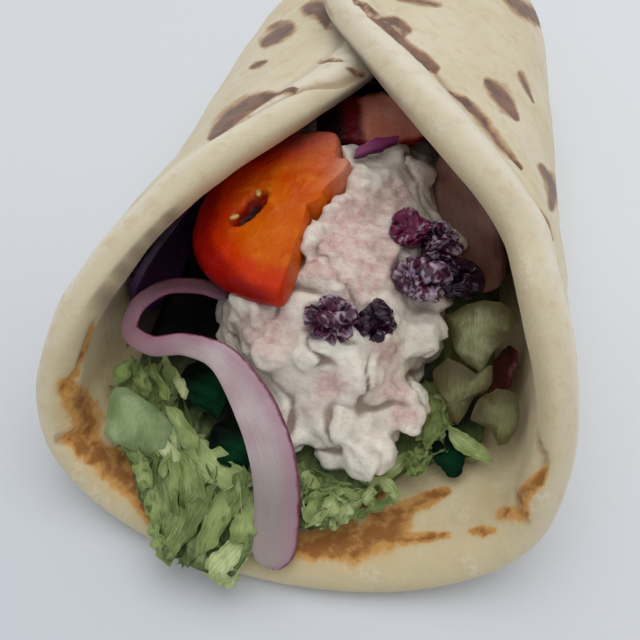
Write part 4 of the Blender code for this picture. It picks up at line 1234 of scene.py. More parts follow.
# %% Leaf materials
def leaf_finish(name, pale, mid, dark, gloss, see_through, edge_share=0.3, shine=0.3, ribs=0.35,
                end_shade=0.0):
    """A leaf: soft clouds of tone with faint ribs along it. The tag makes some pieces darker.

    The last argument is how much painted shade darkens the end that lies deepest.
    """
    made = Finish(name)
    lay = made.kept("lay", "Vector")
    lines = made.grain(6.0, 3.0, 0.6, 0.2, at=made.stretched(lay, (2.4, 0.3, 3.0)))
    cloud = made.grain(140.0, 3.0, 0.55, 0.4)
    tone = made.plus(made.times(lines, ribs), made.times(cloud, 0.6))
    tone = made.plus(tone, 0.25 - ribs / 2)
    tone = made.plus(tone, made.times(made.part(lay, 2), 0.4))
    colour = made.mix(made.level(tone, 0.46, 0.76), pale, mid)
    colour = made.mix(made.level(tone, 0.76, 1.04), colour, dark)
    to_edge = made.largest(made.size_of(made.part(lay, 0)), made.size_of(made.part(lay, 1)))
    rimmed = made.level(made.plus(to_edge, cloud), 0.8, 1.45, 0.0, edge_share)
    colour = made.mix(rimmed, colour, dark)
    # painted shade on the end of the sheet that lies deepest
    colour = made.mix(made.level(made.part(lay, 1), 0.2, -0.5, 0.0, end_shade), colour, paint(2, 5, 3))
    height = made.plus(made.times(lines, 0.5), made.times(cloud, 0.5))
    return made.wear(Base_Color=colour, Roughness=made.level(cloud, 0.3, 0.7, gloss, gloss + 0.2),
                     Normal=made.relief(height, 0.45), Subsurface_Weight=see_through,
                     Subsurface_Radius=(0.003, 0.004, 0.0015), Subsurface_Scale=0.5,
                     Specular_IOR_Level=shine)


shred_green = leaf_finish("shredded_lettuce", paint(214, 226, 162), paint(152, 170, 98),
                          paint(82, 102, 44), gloss=0.26, see_through=0.25, edge_share=0.3,
                          shine=0.5, ribs=0.7)
leaf_green = leaf_finish("lettuce_leaf", paint(164, 180, 130), paint(132, 150, 96),
                         paint(86, 108, 58), gloss=0.28, see_through=0.3, edge_share=0.6, shine=0.4)
cream_green = leaf_finish("pale_inner_leaf", paint(178, 182, 142), paint(130, 128, 84),
                          paint(84, 72, 42), gloss=0.35, see_through=0.35, edge_share=0.9)
spinach_green = leaf_finish("spinach", paint(2, 74, 38), paint(1, 52, 24), paint(1, 20, 10),
                            gloss=0.42, see_through=0.0, edge_share=0.5, shine=0.08, end_shade=0.9)
print("leaf finishes:", [made.name for made in (shred_green, leaf_green, cream_green, spinach_green)])

# %% [markdown]
# Iceberg lettuce cut in shreds fills the foot of the wrap and spills over the lip. Over the bed
# lie long ruffled strips. The ones that the photograph shows clearly come first, each along the
# pixels it passes through, at a height of its own. A seeded scatter then fills the gaps between
# them: shorter strips on the bed, each kept only when all of it shows inside a given outline.

# %% Where shreds lie
BED_STATION = np.array([8.0, 40.0, 100.0, 150.0, 200.0, 227.0]) * MM
BED_TOP = np.array([11.5, 16.0, 19.0, 17.0, 14.5, 12.0]) * MM
# Where loose shreds may show, as outlines in pixels. For each: how many, and the shortest and
# longest half length in millimetres.
LEFT_GREENS = [(128, 350), (112, 365), (106, 385), (104, 430), (112, 455), (135, 468), (150, 475),
               (143, 490), (150, 515), (160, 535), (158, 565), (180, 570), (205, 566), (212, 585),
               (232, 585), (240, 572), (254, 556), (258, 540), (256, 500), (250, 474), (226, 452),
               (200, 424), (186, 396), (170, 362), (160, 352)]
RIGHT_GREENS = [(425, 380), (455, 370), (455, 425), (440, 455), (420, 452)]
FRONT_GREENS = [(290, 450), (306, 455), (322, 472), (336, 484), (362, 488), (398, 480), (402, 496),
                (368, 514), (340, 526), (300, 528)]
FOOT_GREENS = [(394, 458), (420, 450), (430, 440), (433, 460), (420, 476), (398, 480)]
LOOSE_SHREDS = [(LEFT_GREENS, 84, (7, 18)), (RIGHT_GREENS, 9, (5, 10)), (FRONT_GREENS, 20, (4, 8)),
                (FOOT_GREENS, 4, (3, 6))]


def ground(s):
    """Height in millimetres of what the shreds lie on: the lip, then the bed."""
    past = min(max((4.2 - s) / 4.2, 0.0), 1.6)
    lip = 7.2 - 3.4 * past * past
    bed = float(curve(BED_STATION, BED_TOP, max(s, 8.0) * MM)) / MM
    return lip + (bed - lip) * float(smooth(s, 5.0, 14.0))


# Routes of shreds that show: (pixel across, pixel down, height), then the width in millimetres.
SHOWN_SHREDS = [
    ([(157, 463, 15), (163, 490, 14), (170, 522, 12), (172, 540, 10)], (4.5, 6.0, 5.0), 0.9),
    ([(181, 503, 14), (176, 530, 12), (166, 552, 10), (163, 566, 8.5)], (5.0, 6.5, 4.0), 0.8),
    ([(170, 446, 16), (187, 470, 16), (196, 502, 14.5), (204, 530, 12)], (4.0, 6.0, 5.0), 0.6),
    ([(190, 430, 18), (206, 458, 17), (230, 478, 16), (256, 492, 15)], (6.0, 8.0, 5.0), 0.35),
    ([(226, 482, 16), (219, 512, 14), (208, 540, 12), (203, 560, 10)], (4.0, 5.5, 4.0), 0.7),
    ([(246, 540, 11), (232, 556, 10.4), (218, 572, 9.2), (210, 581, 7)], (4.0, 7.0, 6.0), 0.2),
    ([(222, 566, 9.6), (230, 578, 8.2), (238, 584, 6.5)], (4.0, 4.5, 3.0), 0.15),
    ([(254, 500, 15), (246, 522, 13), (236, 546, 11.4)], (5.0, 6.0, 4.0), 0.55),
    ([(212, 478, 17), (204, 500, 15.5), (192, 524, 13.5), (186, 548, 11)], (3.0, 4.0, 3.0), 0.95),
    ([(240, 466, 17), (238, 496, 15.5), (228, 524, 13)], (3.0, 4.0, 3.0), 0.85),
    ([(134, 450, 16.4), (144, 474, 15), (150, 500, 13)], (2.6, 4.0, 2.6), 0.5),
    ([(146, 478, 14.6), (154, 506, 13), (160, 534, 11)], (2.6, 4.2, 2.8), 0.75),
    ([(150, 520, 12), (158, 540, 10.4), (160, 560, 9)], (2.4, 3.6, 2.2), 0.4),
    ([(126, 438, 17.6), (138, 458, 16), (150, 470, 15)], (2.2, 3.4, 2.2), 0.85),
    ([(119, 386, 21.5), (123, 370, 22), (131, 357, 23)], (2.6, 4.2, 2.4), 0.7),
    ([(134, 362, 22.5), (141, 378, 22), (150, 396, 21.5)], (2.2, 3.4, 2.4), 0.9),
    ([(150, 362, 22), (160, 382, 21.6), (170, 402, 21)], (2.2, 3.2, 2.0), 0.75),
    ([(175, 373, 21.6), (181, 386, 21.2), (188, 400, 20.6)], (1.6, 2.6, 1.6), 0.0),
    ([(170, 404, 21), (180, 422, 20), (190, 440, 18), (198, 458, 17)], (2.4, 4.2, 3.0), 0.5),
    ([(318, 502, 14), (332, 506, 13.6), (348, 509, 13), (364, 506, 13)], (3.5, 5.0, 3.5), 0.3),
    ([(300, 513, 14), (318, 516, 13.6), (338, 517, 13.2)], (3.0, 4.4, 3.0), 0.1),
    ([(304, 499, 15), (322, 500, 15), (342, 503, 14.6)], (3.0, 4.6, 3.0), 0.35),
    ([(328, 491, 15.4), (346, 496, 15), (362, 499, 14.4)], (2.4, 3.6, 2.4), 0.5),
    ([(312, 523, 12.6), (332, 522, 12.6), (350, 515, 13)], (2.0, 3.2, 2.0), 0.25),
    ([(306, 488, 15.4), (316, 493, 15.2), (328, 504, 14.6)], (2.0, 3.2, 2.0), 0.8),
    ([(364, 480, 15.2), (380, 481, 14.8), (394, 491, 14), (394, 506, 12.6)], (2.4, 3.2, 2.2), 0.15),
    ([(370, 506, 13), (368, 498, 14.2), (375, 487, 15)], (2.0, 3.2, 2.0), 0.3),
    ([(444, 390, 20), (436, 408, 18.4), (428, 426, 17), (421, 444, 15.6)], (3.0, 5.0, 3.4), 0.0),
    ([(416, 452, 15.4), (398, 463, 15), (380, 474, 14.6), (362, 486, 14.2)], (2.6, 4.2, 3.4), 0.3),
]
print("the lip's top is", ground(0.0), "mm up, and the bed 40 mm back is", ground(40.0), "mm up")

# %% Lay the shreds
facing_viewer = unit((0.13, -0.62, 0.77))
MOST_TRIES = 4000
# Ruffle, cup and thickness of both kinds.
SHOWN_FORM = (0.7 * MM, 0.3 * MM, 0.4 * MM)
LOOSE_FORM = (0.6 * MM, 0.4 * MM, 0.35 * MM)
# A loose shred's heading and spread in degrees (-90 leads straight out of the mouth), and how
# high it may lie in the pile, in millimetres.
HEADING, HEADING_SPREAD = -98, 24
PILE = 2.6
ROUTE_POINTS = 6
# Narrowest and widest at its start, middle and end, in millimetres.
NARROWEST, WIDEST = (1.2, 2.0, 0.9), (2.6, 4.4, 2.2)
# No shred hangs further over the lip than this.
OVER_LIP = 1.2 * MM

shreds = new_sheets()
rng = np.random.default_rng(12)
for line, widths, tag in SHOWN_SHREDS:
    points = [np.array(seen(px, py, height)) for px, py, height in line]
    facing = facing_viewer + rng.uniform(-0.35, 0.35, 3)
    waves, phase = rng.uniform(1.5, 3.5), rng.uniform(0, 6)
    torn = rng.choice((-1, 1)) * rng.uniform(0.1, 0.2)
    ruffle, cup, thickness = SHOWN_FORM
    shred = ribbon(points, [w * MM for w in widths], facing, ruffle, waves, phase, cup, torn)
    add_sheet(shreds, 8, 44, shred, rounded(thickness), tag)
for outline, count, (shortest, longest) in LOOSE_SHREDS:
    columns, rows = zip(*outline)
    laid = tried = 0
    while laid < count and tried < MOST_TRIES:
        tried += 1
        px, py = rng.uniform(min(columns), max(columns)), rng.uniform(min(rows), max(rows))
        if not within(px, py, outline):
            continue
        layer = rng.uniform(0.0, PILE)
        height = 14.0
        for _ in range(6):
            start = seen(px, py, height)
            height = ground((start.y - LIP_Y) / MM) + layer
        heading = math.radians(rng.normal(HEADING, HEADING_SPREAD))
        bend = rng.uniform(-0.8, 0.8)
        length = rng.uniform(shortest, longest) * 2
        rise = rng.uniform(0.2, 1.0)
        points = []
        for t in np.linspace(0, 1, ROUTE_POINTS):
            x = start.x / MM + length * (t - 0.5) * math.cos(heading + bend * (t - 0.5))
            s = (start.y - LIP_Y) / MM + length * (t - 0.5) * math.sin(heading + bend * (t - 0.5))
            low = layer * (1.0 if s > 8 else 0.4) + rise * math.sin(2 * math.pi * t + bend * 3)
            points.append(spot(x, s, ground(s) + low))
        stays_in = all(within(*shows_at(p), outline) for p in points)
        if not stays_in or min(p[1] for p in points) < LIP_Y - OVER_LIP:
            continue
        widths = rng.uniform(NARROWEST, WIDEST) * MM
        facing = facing_viewer + rng.uniform(-0.5, 0.5, 3)
        waves, phase = rng.uniform(1.5, 4), rng.uniform(0, 6)
        torn = rng.choice((-1, 1)) * rng.uniform(0.08, 0.18)
        ruffle, cup, thickness = LOOSE_FORM
        shred = ribbon(points, widths, facing, ruffle, waves, phase, cup, torn)
        add_sheet(shreds, 6, 32, shred, rounded(thickness), rng.uniform(0, 1))
        laid += 1
    print("loose shreds laid:", laid, "in", tried, "tries")
as_piece("lettuce_shreds", sheets_done(shreds), shred_green, ["lettuce"], crisp=True)

# %% [markdown]
# The bed under the shreds is the imported heap itself, cut finer and roughened with noise. It only
# shows through gaps, so painted shade makes its colour darker, darkest in the hollow inside the
# loop of onion and in the gap under the strip.

# %% The bed under them
# Painted shadow, in millimetres: across, back from the lip and up, then how far each reaches.
HOLLOWS = [((-36, 62, 20), 19.0), ((-22, 42, 20), 11.0), ((-14, 33, 18), 7.0), ((34, 48, 20), 9.0)]
BED_ROUGHNESS = 0.5 * MM
BED_SUNK = 0.3 * MM
BED_NOISE_SCALE = 260.0


def bed_finish():
    """The layer below the shreds: the same leaf, darker with painted shade, darkest in the hollows."""
    made = Finish("lettuce_below")
    cloud = made.grain(150.0, 4.0, 0.6, 0.6)
    creased = made.grain(1.0, 3.0, 0.55, 0.8, at=made.stretched(made.place(), (420.0, 120.0, 300.0)))
    tone = made.plus(made.times(cloud, 0.5), made.times(creased, 0.5))
    # the bed's greens are darker than the shreds' as painted shade
    colour = made.mix(made.level(tone, 0.36, 0.52), paint(134, 146, 94), paint(88, 104, 58))
    colour = made.mix(made.level(tone, 0.50, 0.64), colour, paint(52, 66, 32))
    # painted shadow in the hollows
    colour = made.mix(made.level(made.kept("bed_shadow"), 0.1, 0.6), colour, paint(18, 14, 14))
    return made.wear(Base_Color=colour, Roughness=made.level(cloud, 0.3, 0.7, 0.45, 0.65),
                     Normal=made.relief(tone, 1.2), Subsurface_Weight=0.05,
                     Subsurface_Radius=(0.002, 0.003, 0.001), Subsurface_Scale=0.5, Specular_IOR_Level=0.3)


bed = solid_copy("lettuce")
bmesh.ops.subdivide_edges(bed, edges=bed.edges[:], cuts=2, use_grid_fill=True)
bed.normal_update()
bed_shadows = []
for vert in bed.verts:
    rough = BED_ROUGHNESS * noise.noise(vert.co * BED_NOISE_SCALE)
    vert.co += vert.normal * (rough - BED_SUNK)
    bed_shadows.append(max(math.exp(-((vert.co - Vector(spot(*place))).length / (reach * MM)) ** 2)
                    for place, reach in HOLLOWS))
bed_piece = as_piece("lettuce_bed", bed, bed_finish(), ["lettuce"])
keep(bed_piece.data, "bed_shadow", bed_shadows)

# %% [markdown]
# ## Single leaves
#
# A few larger pieces of leaf stand clear of the shreds: one pale piece of rib at the left, three
# at the right wall with a strand in front of them, and three dark spinach leaves. Each stands at
# its solid's place. The torn pieces of lettuce are cut to the outline that the photograph shows,
# and spinach, which keeps its own leaf shape, is a blade. The strand is a ribbon like the shreds.

# %% Leaves
# Pieces of lettuce: the solid's place and facing, then the outline in pixels, cup, wave, seed and tag.
CUT_LEAVES = [
    ("lettuce_leaf_left", (-33.1, 23.4, 20.8), (0.25, -0.45, 0.9),
     [(110, 393), (115, 387), (127, 388), (150, 403), (173, 422), (171, 447), (161, 461), (140, 454),
      (120, 444), (104, 434), (106, 410)], -0.8, 0.5, 2.0, 0.2, "leaf"),
    ("lettuce_leaf_right_upper", (37.0, 53.9, 34.2), (-0.3, -0.55, 0.8),
     [(443, 314), (452, 312), (466, 304), (482, 299), (498, 301), (508, 309), (512, 323), (501, 342),
      (489, 355), (478, 371), (463, 362), (453, 348), (447, 330)], -1.2, 0.7, 3.0, 0.35, "cream"),
    ("lettuce_leaf_right_lower", (34.4, 41.5, 23.8), (-0.1, -0.6, 0.8),
     [(432, 372), (447, 358), (462, 364), (476, 375), (491, 364), (491, 382), (483, 399), (474, 396),
      (466, 412), (457, 425), (449, 420), (444, 400), (434, 386)], -0.8, 0.6, 4.0, 0.85, "cream"),
    ("lettuce_leaf_curled", (45.4, 39.5, 24.5), (-0.35, -0.5, 0.8),
     [(486, 396), (496, 388), (508, 390), (517, 396), (519, 410), (518, 427), (509, 444), (498, 446),
      (489, 430), (480, 424), (471, 420), (477, 406)], 1.4, 1.0, 5.5, 0.65, "cream"),
]
# Spinach: centre, along, facing, length, half widths along it, cup, wave, bend and seed.
SPINACH = [
    ("spinach_left_upper", (-22.6, 36.6, 20.2), (0.5, -0.8, 0.05), (0.1, -0.3, 0.95), 18,
     (3.0, 5.0, 5.3, 4.4, 1.8), 1.2, 0.8, 1.0, 0.5),
    ("spinach_left_lower", (-12.5, 24.0, 17.5), (0.5, -0.7, -0.3), (0.15, -0.5, 0.9), 13,
     (2.6, 4.6, 4.8, 3.8, 1.4), 1.2, 0.9, 1.2, 1.5),
    ("spinach_right", (35.8, 34.2, 14.6), (0.4, -0.8, -0.3), (-0.1, -0.5, 0.9), 11,
     (2.2, 3.4, 3.5, 2.8, 1.4), 0.8, 0.5, 0.6, 2.5),
]
LEAF_FINISHES = {"leaf": leaf_green, "cream": cream_green}
LETTUCE_THICK, STRAND_THICK, SPINACH_THICK = 0.4 * MM, 0.45 * MM, 0.8 * MM
for node, place, facing, outline, cup, wave, seed, tag, kind in CUT_LEAVES:
    leaf = cut_leaf(outline, spot(*place), facing, cup * MM, wave * MM, seed)
    sheet_piece(node + "_piece", (40, 40), leaf, LETTUCE_THICK, LEAF_FINISHES[kind], node,
                tag)
for node, place, along, facing, length, halves, cup, wave, bend, seed in SPINACH:
    leaf = blade(spot(*place), along, facing, length * MM, [h * MM for h in halves],
                 cup * MM, wave * MM, bend * MM, seed)
    sheet_piece(node + "_blade", (30, 40), leaf, SPINACH_THICK, spinach_green, node, 0.4)
strand_route = [spot(34.0, 38.6, 18.2), spot(37.8, 36.2, 17.8), spot(42.0, 34.8, 17.0),
                spot(46.0, 33.8, 16.6)]
strand_run = ribbon(strand_route, [2.4 * MM, 4.4 * MM, 2.0 * MM], facing_viewer,
                    ruffle=0.7 * MM, waves=2.0, phase=1.0, cup=0.6 * MM, torn=0.14)
sheet_piece("lettuce_strand_ribbon", (12, 50), strand_run, STRAND_THICK, shred_green,
            "lettuce_strand", 0.3)

# %% [markdown]
# ## Tomato
#
# Half of a thick slice leans on the salad. A tomato slice is round, so its outline is spun like
# the bread and then pulled into shape: cut across a little past the middle, torn at one corner,
# and drooping. The colour goes by the distance from the middle: orange flesh, a red wall, then
# the glossy skin, and painted shade spreads the dark red further in on the left and at the back.
# A seed chamber is pressed into the face, with two pale seeds in it; it is darker red, and painted
# shade makes its bottom near black.

# %% Tomato slice
TOMATO_RADIUS = 27.0 * MM
TOMATO_THICKNESS = 7.0 * MM
TOMATO_BULGE = 2.2 * MM
TOMATO_CUT = 5.4 * MM
TOMATO_CENTRE = spot(-8.0, 73.0, 46.5)
CHAMBER_PIXEL = (249, 206)
CHAMBER_RADII = (3.0 * MM, 6.4 * MM)
CHAMBER_TURN = math.radians(-30)


def tomato_finish(name, chamber):
    """Tomato in bands from middle to skin, with painted shade: the slice with a chamber, or the wedge
    behind.
    """
    made = Finish(name)
    skin_band_and_shade = made.kept("skin_band_and_shade")
    wet = made.grain(260.0, 4.0, 0.55, 0.3)
    cloud = made.grain(90.0, 3.0, 0.5, 0.3)
    fine = made.grain(900.0, 3.0, 0.6)
    place = made.plus(skin_band_and_shade, made.swing(cloud, 0.25))
    if chamber:
        torn, hollow = made.kept("torn"), made.kept("hollow")
        colour = made.layered(
            made.mix(made.level(cloud, 0.35, 0.7), paint(214, 96, 0), paint(200, 72, 0)),
            (made.level(wet, 0.5, 0.75, 0.0, 0.45), (232, 140, 40)),
            (made.level(wet, 0.45, 0.25, 0.0, 0.4), (204, 66, 4)),
            (made.level(place, 0.58, 0.84), (206, 50, 0)),
            (made.level(place, 0.84, 0.98), (150, 10, 2)),
            (made.level(place, 1.0, 1.16), (156, 6, 6)),
            (made.times(torn, made.level(wet, 0.2, 0.7, 0.5, 1.0)), (218, 146, 118)),
            # the chamber: darker red, then near black at its bottom as painted shade
            (made.level(hollow, 0.05, 0.3), (150, 24, 4)),
            (made.level(hollow, 0.3, 0.8), (52, 8, 4)))
    else:
        # painted shade: dark red, then almost black, towards the left
        right_of_painted_shade = made.plus(made.part(made.kept("lay", "Vector"), 1), made.times(cloud, 0.4))
        colour = made.layered(
            made.mix(made.level(cloud, 0.35, 0.7), paint(238, 160, 136), paint(212, 120, 98)),
            (made.level(place, 0.70, 0.92), (140, 26, 30)),
            (made.level(right_of_painted_shade, 0.06, -0.14), (106, 12, 22)),
            (made.level(right_of_painted_shade, -0.22, -0.50), (34, 6, 14)))
    height = made.plus(made.times(wet, 0.8), made.times(fine, 0.2))
    return made.wear(Base_Color=colour, Roughness=made.level(wet, 0.3, 0.7, 0.22, 0.42),
                     Normal=made.relief(height, 0.9), Subsurface_Weight=0.15,
                     Subsurface_Radius=(0.004, 0.0012, 0.0004), Subsurface_Scale=0.5,
                     Specular_IOR_Level=0.12, Coat_Weight=0.08, Coat_Roughness=0.12)


print("the slice is", round(2 * TOMATO_RADIUS / MM), "mm across")

# %% [markdown]
# The slice is spun first, still round and flat. Three directions say how it lies: its cut runs
# back along the salad, and its face looks up and a little to the left. A pixel's ray meets that
# face at one place, which puts the chamber and the seeds where the photograph has them.

# %% Spin the slice and set it down
half_slice = TOMATO_THICKNESS / 2
FACE_TO = 24.4
slice_profile = [(0.0, half_slice)] + [(r * MM, half_slice) for r in np.linspace(0.8, FACE_TO, 34)]
for step in range(9):
    turn = math.pi / 2 * (1 - step / 4)
    drawn_in = TOMATO_BULGE * (1 - math.cos(turn) ** 0.8 if step != 4 else 0)
    slice_profile.append((TOMATO_RADIUS - drawn_in, half_slice * math.sin(turn)))
slice_profile += [(r * MM, -half_slice) for r in np.linspace(FACE_TO, 2.4, 12)]
slice_profile += [(0.0, -half_slice)]
tomato = turned(slice_profile, 200)
forward = unit((0.0, 1.0, 0.14))
across = unit(np.cross(forward, unit((-0.20, -0.14, 1.0))))
outward_axis = np.cross(across, forward)


def on_slice(px, py):
    """Where a pixel's ray meets the upper face of the slice: across and forward from its middle."""
    ray = np.array(sight(px, py))
    start = np.array(CAMERA_PLACE) - TOMATO_CENTRE - outward_axis * half_slice
    place = start - ray * (start @ outward_axis) / (ray @ outward_axis)
    return place @ across, place @ forward


CHAMBER = on_slice(*CHAMBER_PIXEL)
print("the chamber lies", [round(float(v) / MM, 1) for v in CHAMBER], "mm from the middle")

# %% [markdown]
# Then every vertex is pulled into place. Past the middle the slice ends in a slanting cut, one
# corner is torn out further, the free sides droop, and the chamber sinks into the upper face.
# Each vertex also gets its colour band with painted shade, how hollow and how torn it is, because
# the colours run by these.

# %% Shape the slice
TORN_AT, TORN_WIDTH, TORN_REACH = math.radians(58), 0.22, 0.30
DROOP = 3.0 * MM
CHAMBER_DEPTH = 3.6 * MM
FACE_RELIEF = 0.45 * MM
EDGE_WAVE = 0.4 * MM
cos_turn, sin_turn = math.cos(CHAMBER_TURN), math.sin(CHAMBER_TURN)
band_and_shade_values, hollowness, tornness = [], [], []
for vert in tomato.verts:
    x, y, z = vert.co
    angle = math.atan2(y, x)
    slant = 0.55 + 0.45 * float(smooth(math.sin(angle), -0.5, 0.4))
    cut = TOMATO_CUT * slant / (TOMATO_RADIUS * max(math.cos(angle), 0.05))
    torn = TORN_REACH * math.exp(-((angle - TORN_AT) / TORN_WIDTH) ** 2)
    at_cut = abs(angle) < math.radians(75)
    ragged = 0.02 * noise.noise(Vector((angle * 9.0, 0.0, 3.0))) if at_cut else 0.0
    grow = 1.0 / (1.0 + cut ** -5) ** 0.2 + torn + 0.02 * math.sin(4 * angle) + ragged
    reach = math.hypot(x, y) / TOMATO_RADIUS
    droop = -DROOP * max(-x / TOMATO_RADIUS, 0.0) ** 2 - DROOP * max(y / TOMATO_RADIUS, 0.0) ** 2
    px, py = x * grow, y * grow
    off_x, off_y = px - CHAMBER[0], py - CHAMBER[1]
    away = math.hypot((off_x * cos_turn + off_y * sin_turn) / CHAMBER_RADII[0],
                      (-off_x * sin_turn + off_y * cos_turn) / CHAMBER_RADII[1])
    edge_shift = 0.55 * noise.noise(Vector((px, py, 0.0)) * 420.0)
    inside = max(1.0 + edge_shift - away ** 2, 0.0) if z > 0 and away < 2 else 0.0
    soft = FACE_RELIEF * noise.noise(Vector((px, py, z)) * 210.0) * (1.0 if z > 0 else 0.4)
    pz = z + droop + EDGE_WAVE * math.sin(3 * angle) * reach + soft - CHAMBER_DEPTH * math.sqrt(inside)
    vert.co = TOMATO_CENTRE + across * px + forward * py + outward_axis * pz
    true_reach = math.hypot(px, py) / TOMATO_RADIUS
    # Painted shade: the skin's dark red reaches further in on the left and at the back.
    left_shade = 0.28 * float(smooth(-math.cos(angle) - 0.35 * math.sin(angle), 0.0, 0.95))
    back_shade = 0.34 * float(smooth(math.sin(angle), 0.1, 0.9) * smooth(-math.cos(angle), -0.35, 0.35))
    band_and_shade_values.append(true_reach - 0.16 + max(left_shade, back_shade))
    hollowness.append(inside)
    upper_right = smooth(py / TOMATO_RADIUS, 0.2, 0.9) * smooth(px / TOMATO_RADIUS, -0.5, 0.2)
    tornness.append(max(torn * 5.0 * reach ** 3, 0.6 * upper_right))
cut_tomato = tomato_finish("cut_tomato", True)
tomato_piece = as_piece("tomato_half_slice", tomato, cut_tomato, ["tomato_slice"])
keep(tomato_piece.data, "skin_band_and_shade", band_and_shade_values)
keep(tomato_piece.data, "hollow", hollowness)
keep(tomato_piece.data, "torn", np.clip(np.array(tornness), 0, 1))

# %% [markdown]
# The wedge behind is half hidden and out of focus, so it needs only its size, its place and its
# bands: pale salmon at the right, then painted shade, dark red and then almost black, towards the
# left. A thick blade does, and the bands read the place along it.

# %% Tomato wedge behind
WEDGE_HALVES = [5.0 * MM, 7.2 * MM, 7.6 * MM, 7.2 * MM, 5.0 * MM]
WEDGE_THICKNESS = 4.0 * MM
wedge = blade(spot(4.0, 109.5, 47.5), (1.0, 0.25, 0.0), (0, -0.4, 1.0), 31 * MM, WEDGE_HALVES,
              cup=0.0, wave=0.4 * MM, bend=1.5 * MM, seed=1.0)
back_wedge = sheet_piece("tomato_back_wedge", (30, 40), wedge, WEDGE_THICKNESS,
                         tomato_finish("back_tomato", False), "tomato_back",
                         thin_edge=0.7, crisp=False)
store = np.zeros(len(back_wedge.data.vertices) * 3)
back_wedge.data.attributes["lay"].data.foreach_get("vector", store)
keep(back_wedge.data, "skin_band_and_shade", 0.62 + 0.30 * np.abs(store.reshape(-1, 3)[:, 0]) ** 4)

# %% [markdown]
# Two seeds lie by the chamber. A tomato seed is a small pale yellow oval in wet jelly, so a
# flattened sphere with a glossy coat is enough at this size.

# %% Seeds in the tomato
SEED_PIXELS = [(258, 192, 0.3), (234, 216, -0.9)]
SEED_RADII = (0.75 * MM, 1.25 * MM, 0.55 * MM)


def seed_finish():
    made = Finish("tomato_seed")
    tone = made.grain(900.0, 3.0)
    return made.wear(Base_Color=made.mix(tone, paint(220, 180, 90), paint(184, 140, 50)),
                     Roughness=made.level(tone, 0.3, 0.7, 0.15, 0.3), Coat_Weight=0.4,
                     Normal=made.relief(tone, 0.1))


seeds = bmesh.new()
for px, py, turn in SEED_PIXELS:
    sideways, back = on_slice(px, py)
    middle = TOMATO_CENTRE + across * sideways + forward * back + outward_axis * (half_slice - 0.3 * MM)
    shape = (Matrix.Translation(Vector(middle)) @ Matrix.Rotation(turn, 4, "Z")
             @ Matrix.Diagonal((*SEED_RADII, 1.0)))
    bmesh.ops.create_icosphere(seeds, subdivisions=3, radius=1.0, matrix=shape)
as_piece("tomato_seeds", seeds, seed_finish(), ["tomato_slice"])

# %% [markdown]
# ## Red onion
#
# Onion is cut in rings that fall apart into strips: a pale, watery cut face with fine lines along
# it, and a purple skin on one edge. One finish serves all five pieces. It reads the place across
# the piece, so that the skin stays on its edge all round a loop. Noise in space couldn't do that.

# %% Onion material
def onion_finish(name, pale, middle, skin, edge, side=1.0, far_end_shade=None):
    """A cut face with lines along it, and skin from edge[0] to edge[1], from -1 to 1 across.

    side says which side has the skin, and the last argument is a colour of painted shade for the deepest
    end.
    """
    made = Finish(name)
    lay = made.kept("lay", "Vector")
    across = made.times(made.part(lay, 0), side)
    along = made.part(lay, 1)
    lines = made.grain(5.0, 3.0, 0.55, 0.1, at=made.stretched(lay, (3.2, 0.6, 1.0)))
    cloud = made.grain(120.0, 3.0, 0.5)
    fine = made.grain(1100.0, 3.0, 0.6)
    ragged = made.plus(across, made.swing(made.grain(420.0, 4.0), 0.35))
    tone = made.plus(made.times(lines, 0.45), made.times(cloud, 0.7))
    colour = made.mix(made.level(tone, 0.42, 0.75), pale, middle)
    if far_end_shade:
        # A purpler tone towards the far half; painted shade makes the end over the lip greyer and the
        # deepest end dark.
        colour = made.layered(colour, (made.level(along, 0.05, -0.25, 0.0, 0.8), (152, 108, 122)),
                              (made.level(along, 0.4, 0.75, 0.0, 0.75), (140, 130, 122)))
        colour = made.mix(made.level(along, -0.42, -0.74), colour, far_end_shade)
        flushed = made.level(ragged, edge[0] - 0.9, edge[0], 0.0, 0.45)
        colour = made.mix(flushed, colour, paint(170, 108, 138))
    colour = made.mix(made.level(ragged, edge[0], edge[1]), colour, skin)
    height = made.plus(made.times(lines, 0.5), made.times(fine, 0.3))
    return made.wear(Base_Color=colour, Roughness=made.level(cloud, 0.3, 0.7, 0.26, 0.44),
                     Normal=made.relief(height, 0.22), Subsurface_Weight=0.3,
                     Subsurface_Radius=(0.004, 0.003, 0.003), Subsurface_Scale=0.5,
                     Specular_IOR_Level=0.35, Coat_Weight=0.1, Coat_Roughness=0.15)


print("a finish for five pieces of onion")

# %% [markdown]
# The long strip comes out from under the tomato, turns in a loop and hangs over the lip. It is a
# ribbon along the solid's own route, and its cut face cups slightly, as layers of onion do.

# %% The long strip
# The route: across, back from the lip and up, and the width there, all in millimetres.
STRIP = [(-21.5, 54, 33.5, 3.0), (-29.5, 55.6, 33.2, 3.2), (-37.2, 54, 32.4, 3.2),
         (-42.4, 48.5, 30.8, 3.6), (-42, 42, 29.4, 4.2), (-36, 38.8, 29.6, 4.6),
         (-27.5, 39.4, 31.4, 5.4), (-18, 36.8, 32.6, 7.6), (-10, 30.6, 29.0, 9.4),
         (-4, 23.8, 22.8, 10.0), (-0.6, 17, 17.0, 10.2), (1.2, 9, 12.2, 9.8), (2.0, 1.2, 9.6, 8.8)]
STRIP_THICKNESS = 2.0 * MM
strip_route = [spot(x, s, z) for x, s, z, width in STRIP]
strip_widths = [width * MM for x, s, z, width in STRIP]
strip_run = ribbon(strip_route, strip_widths, facing_viewer, ruffle=0.12 * MM, waves=9.0, phase=0.5,
                   cup=-0.35 * MM, cap=0.07)
lilac = onion_finish("onion_strip", paint(206, 190, 190), paint(188, 162, 166),
                     paint(112, 46, 70), (0.80, 0.98), -1.0, paint(92, 44, 58))
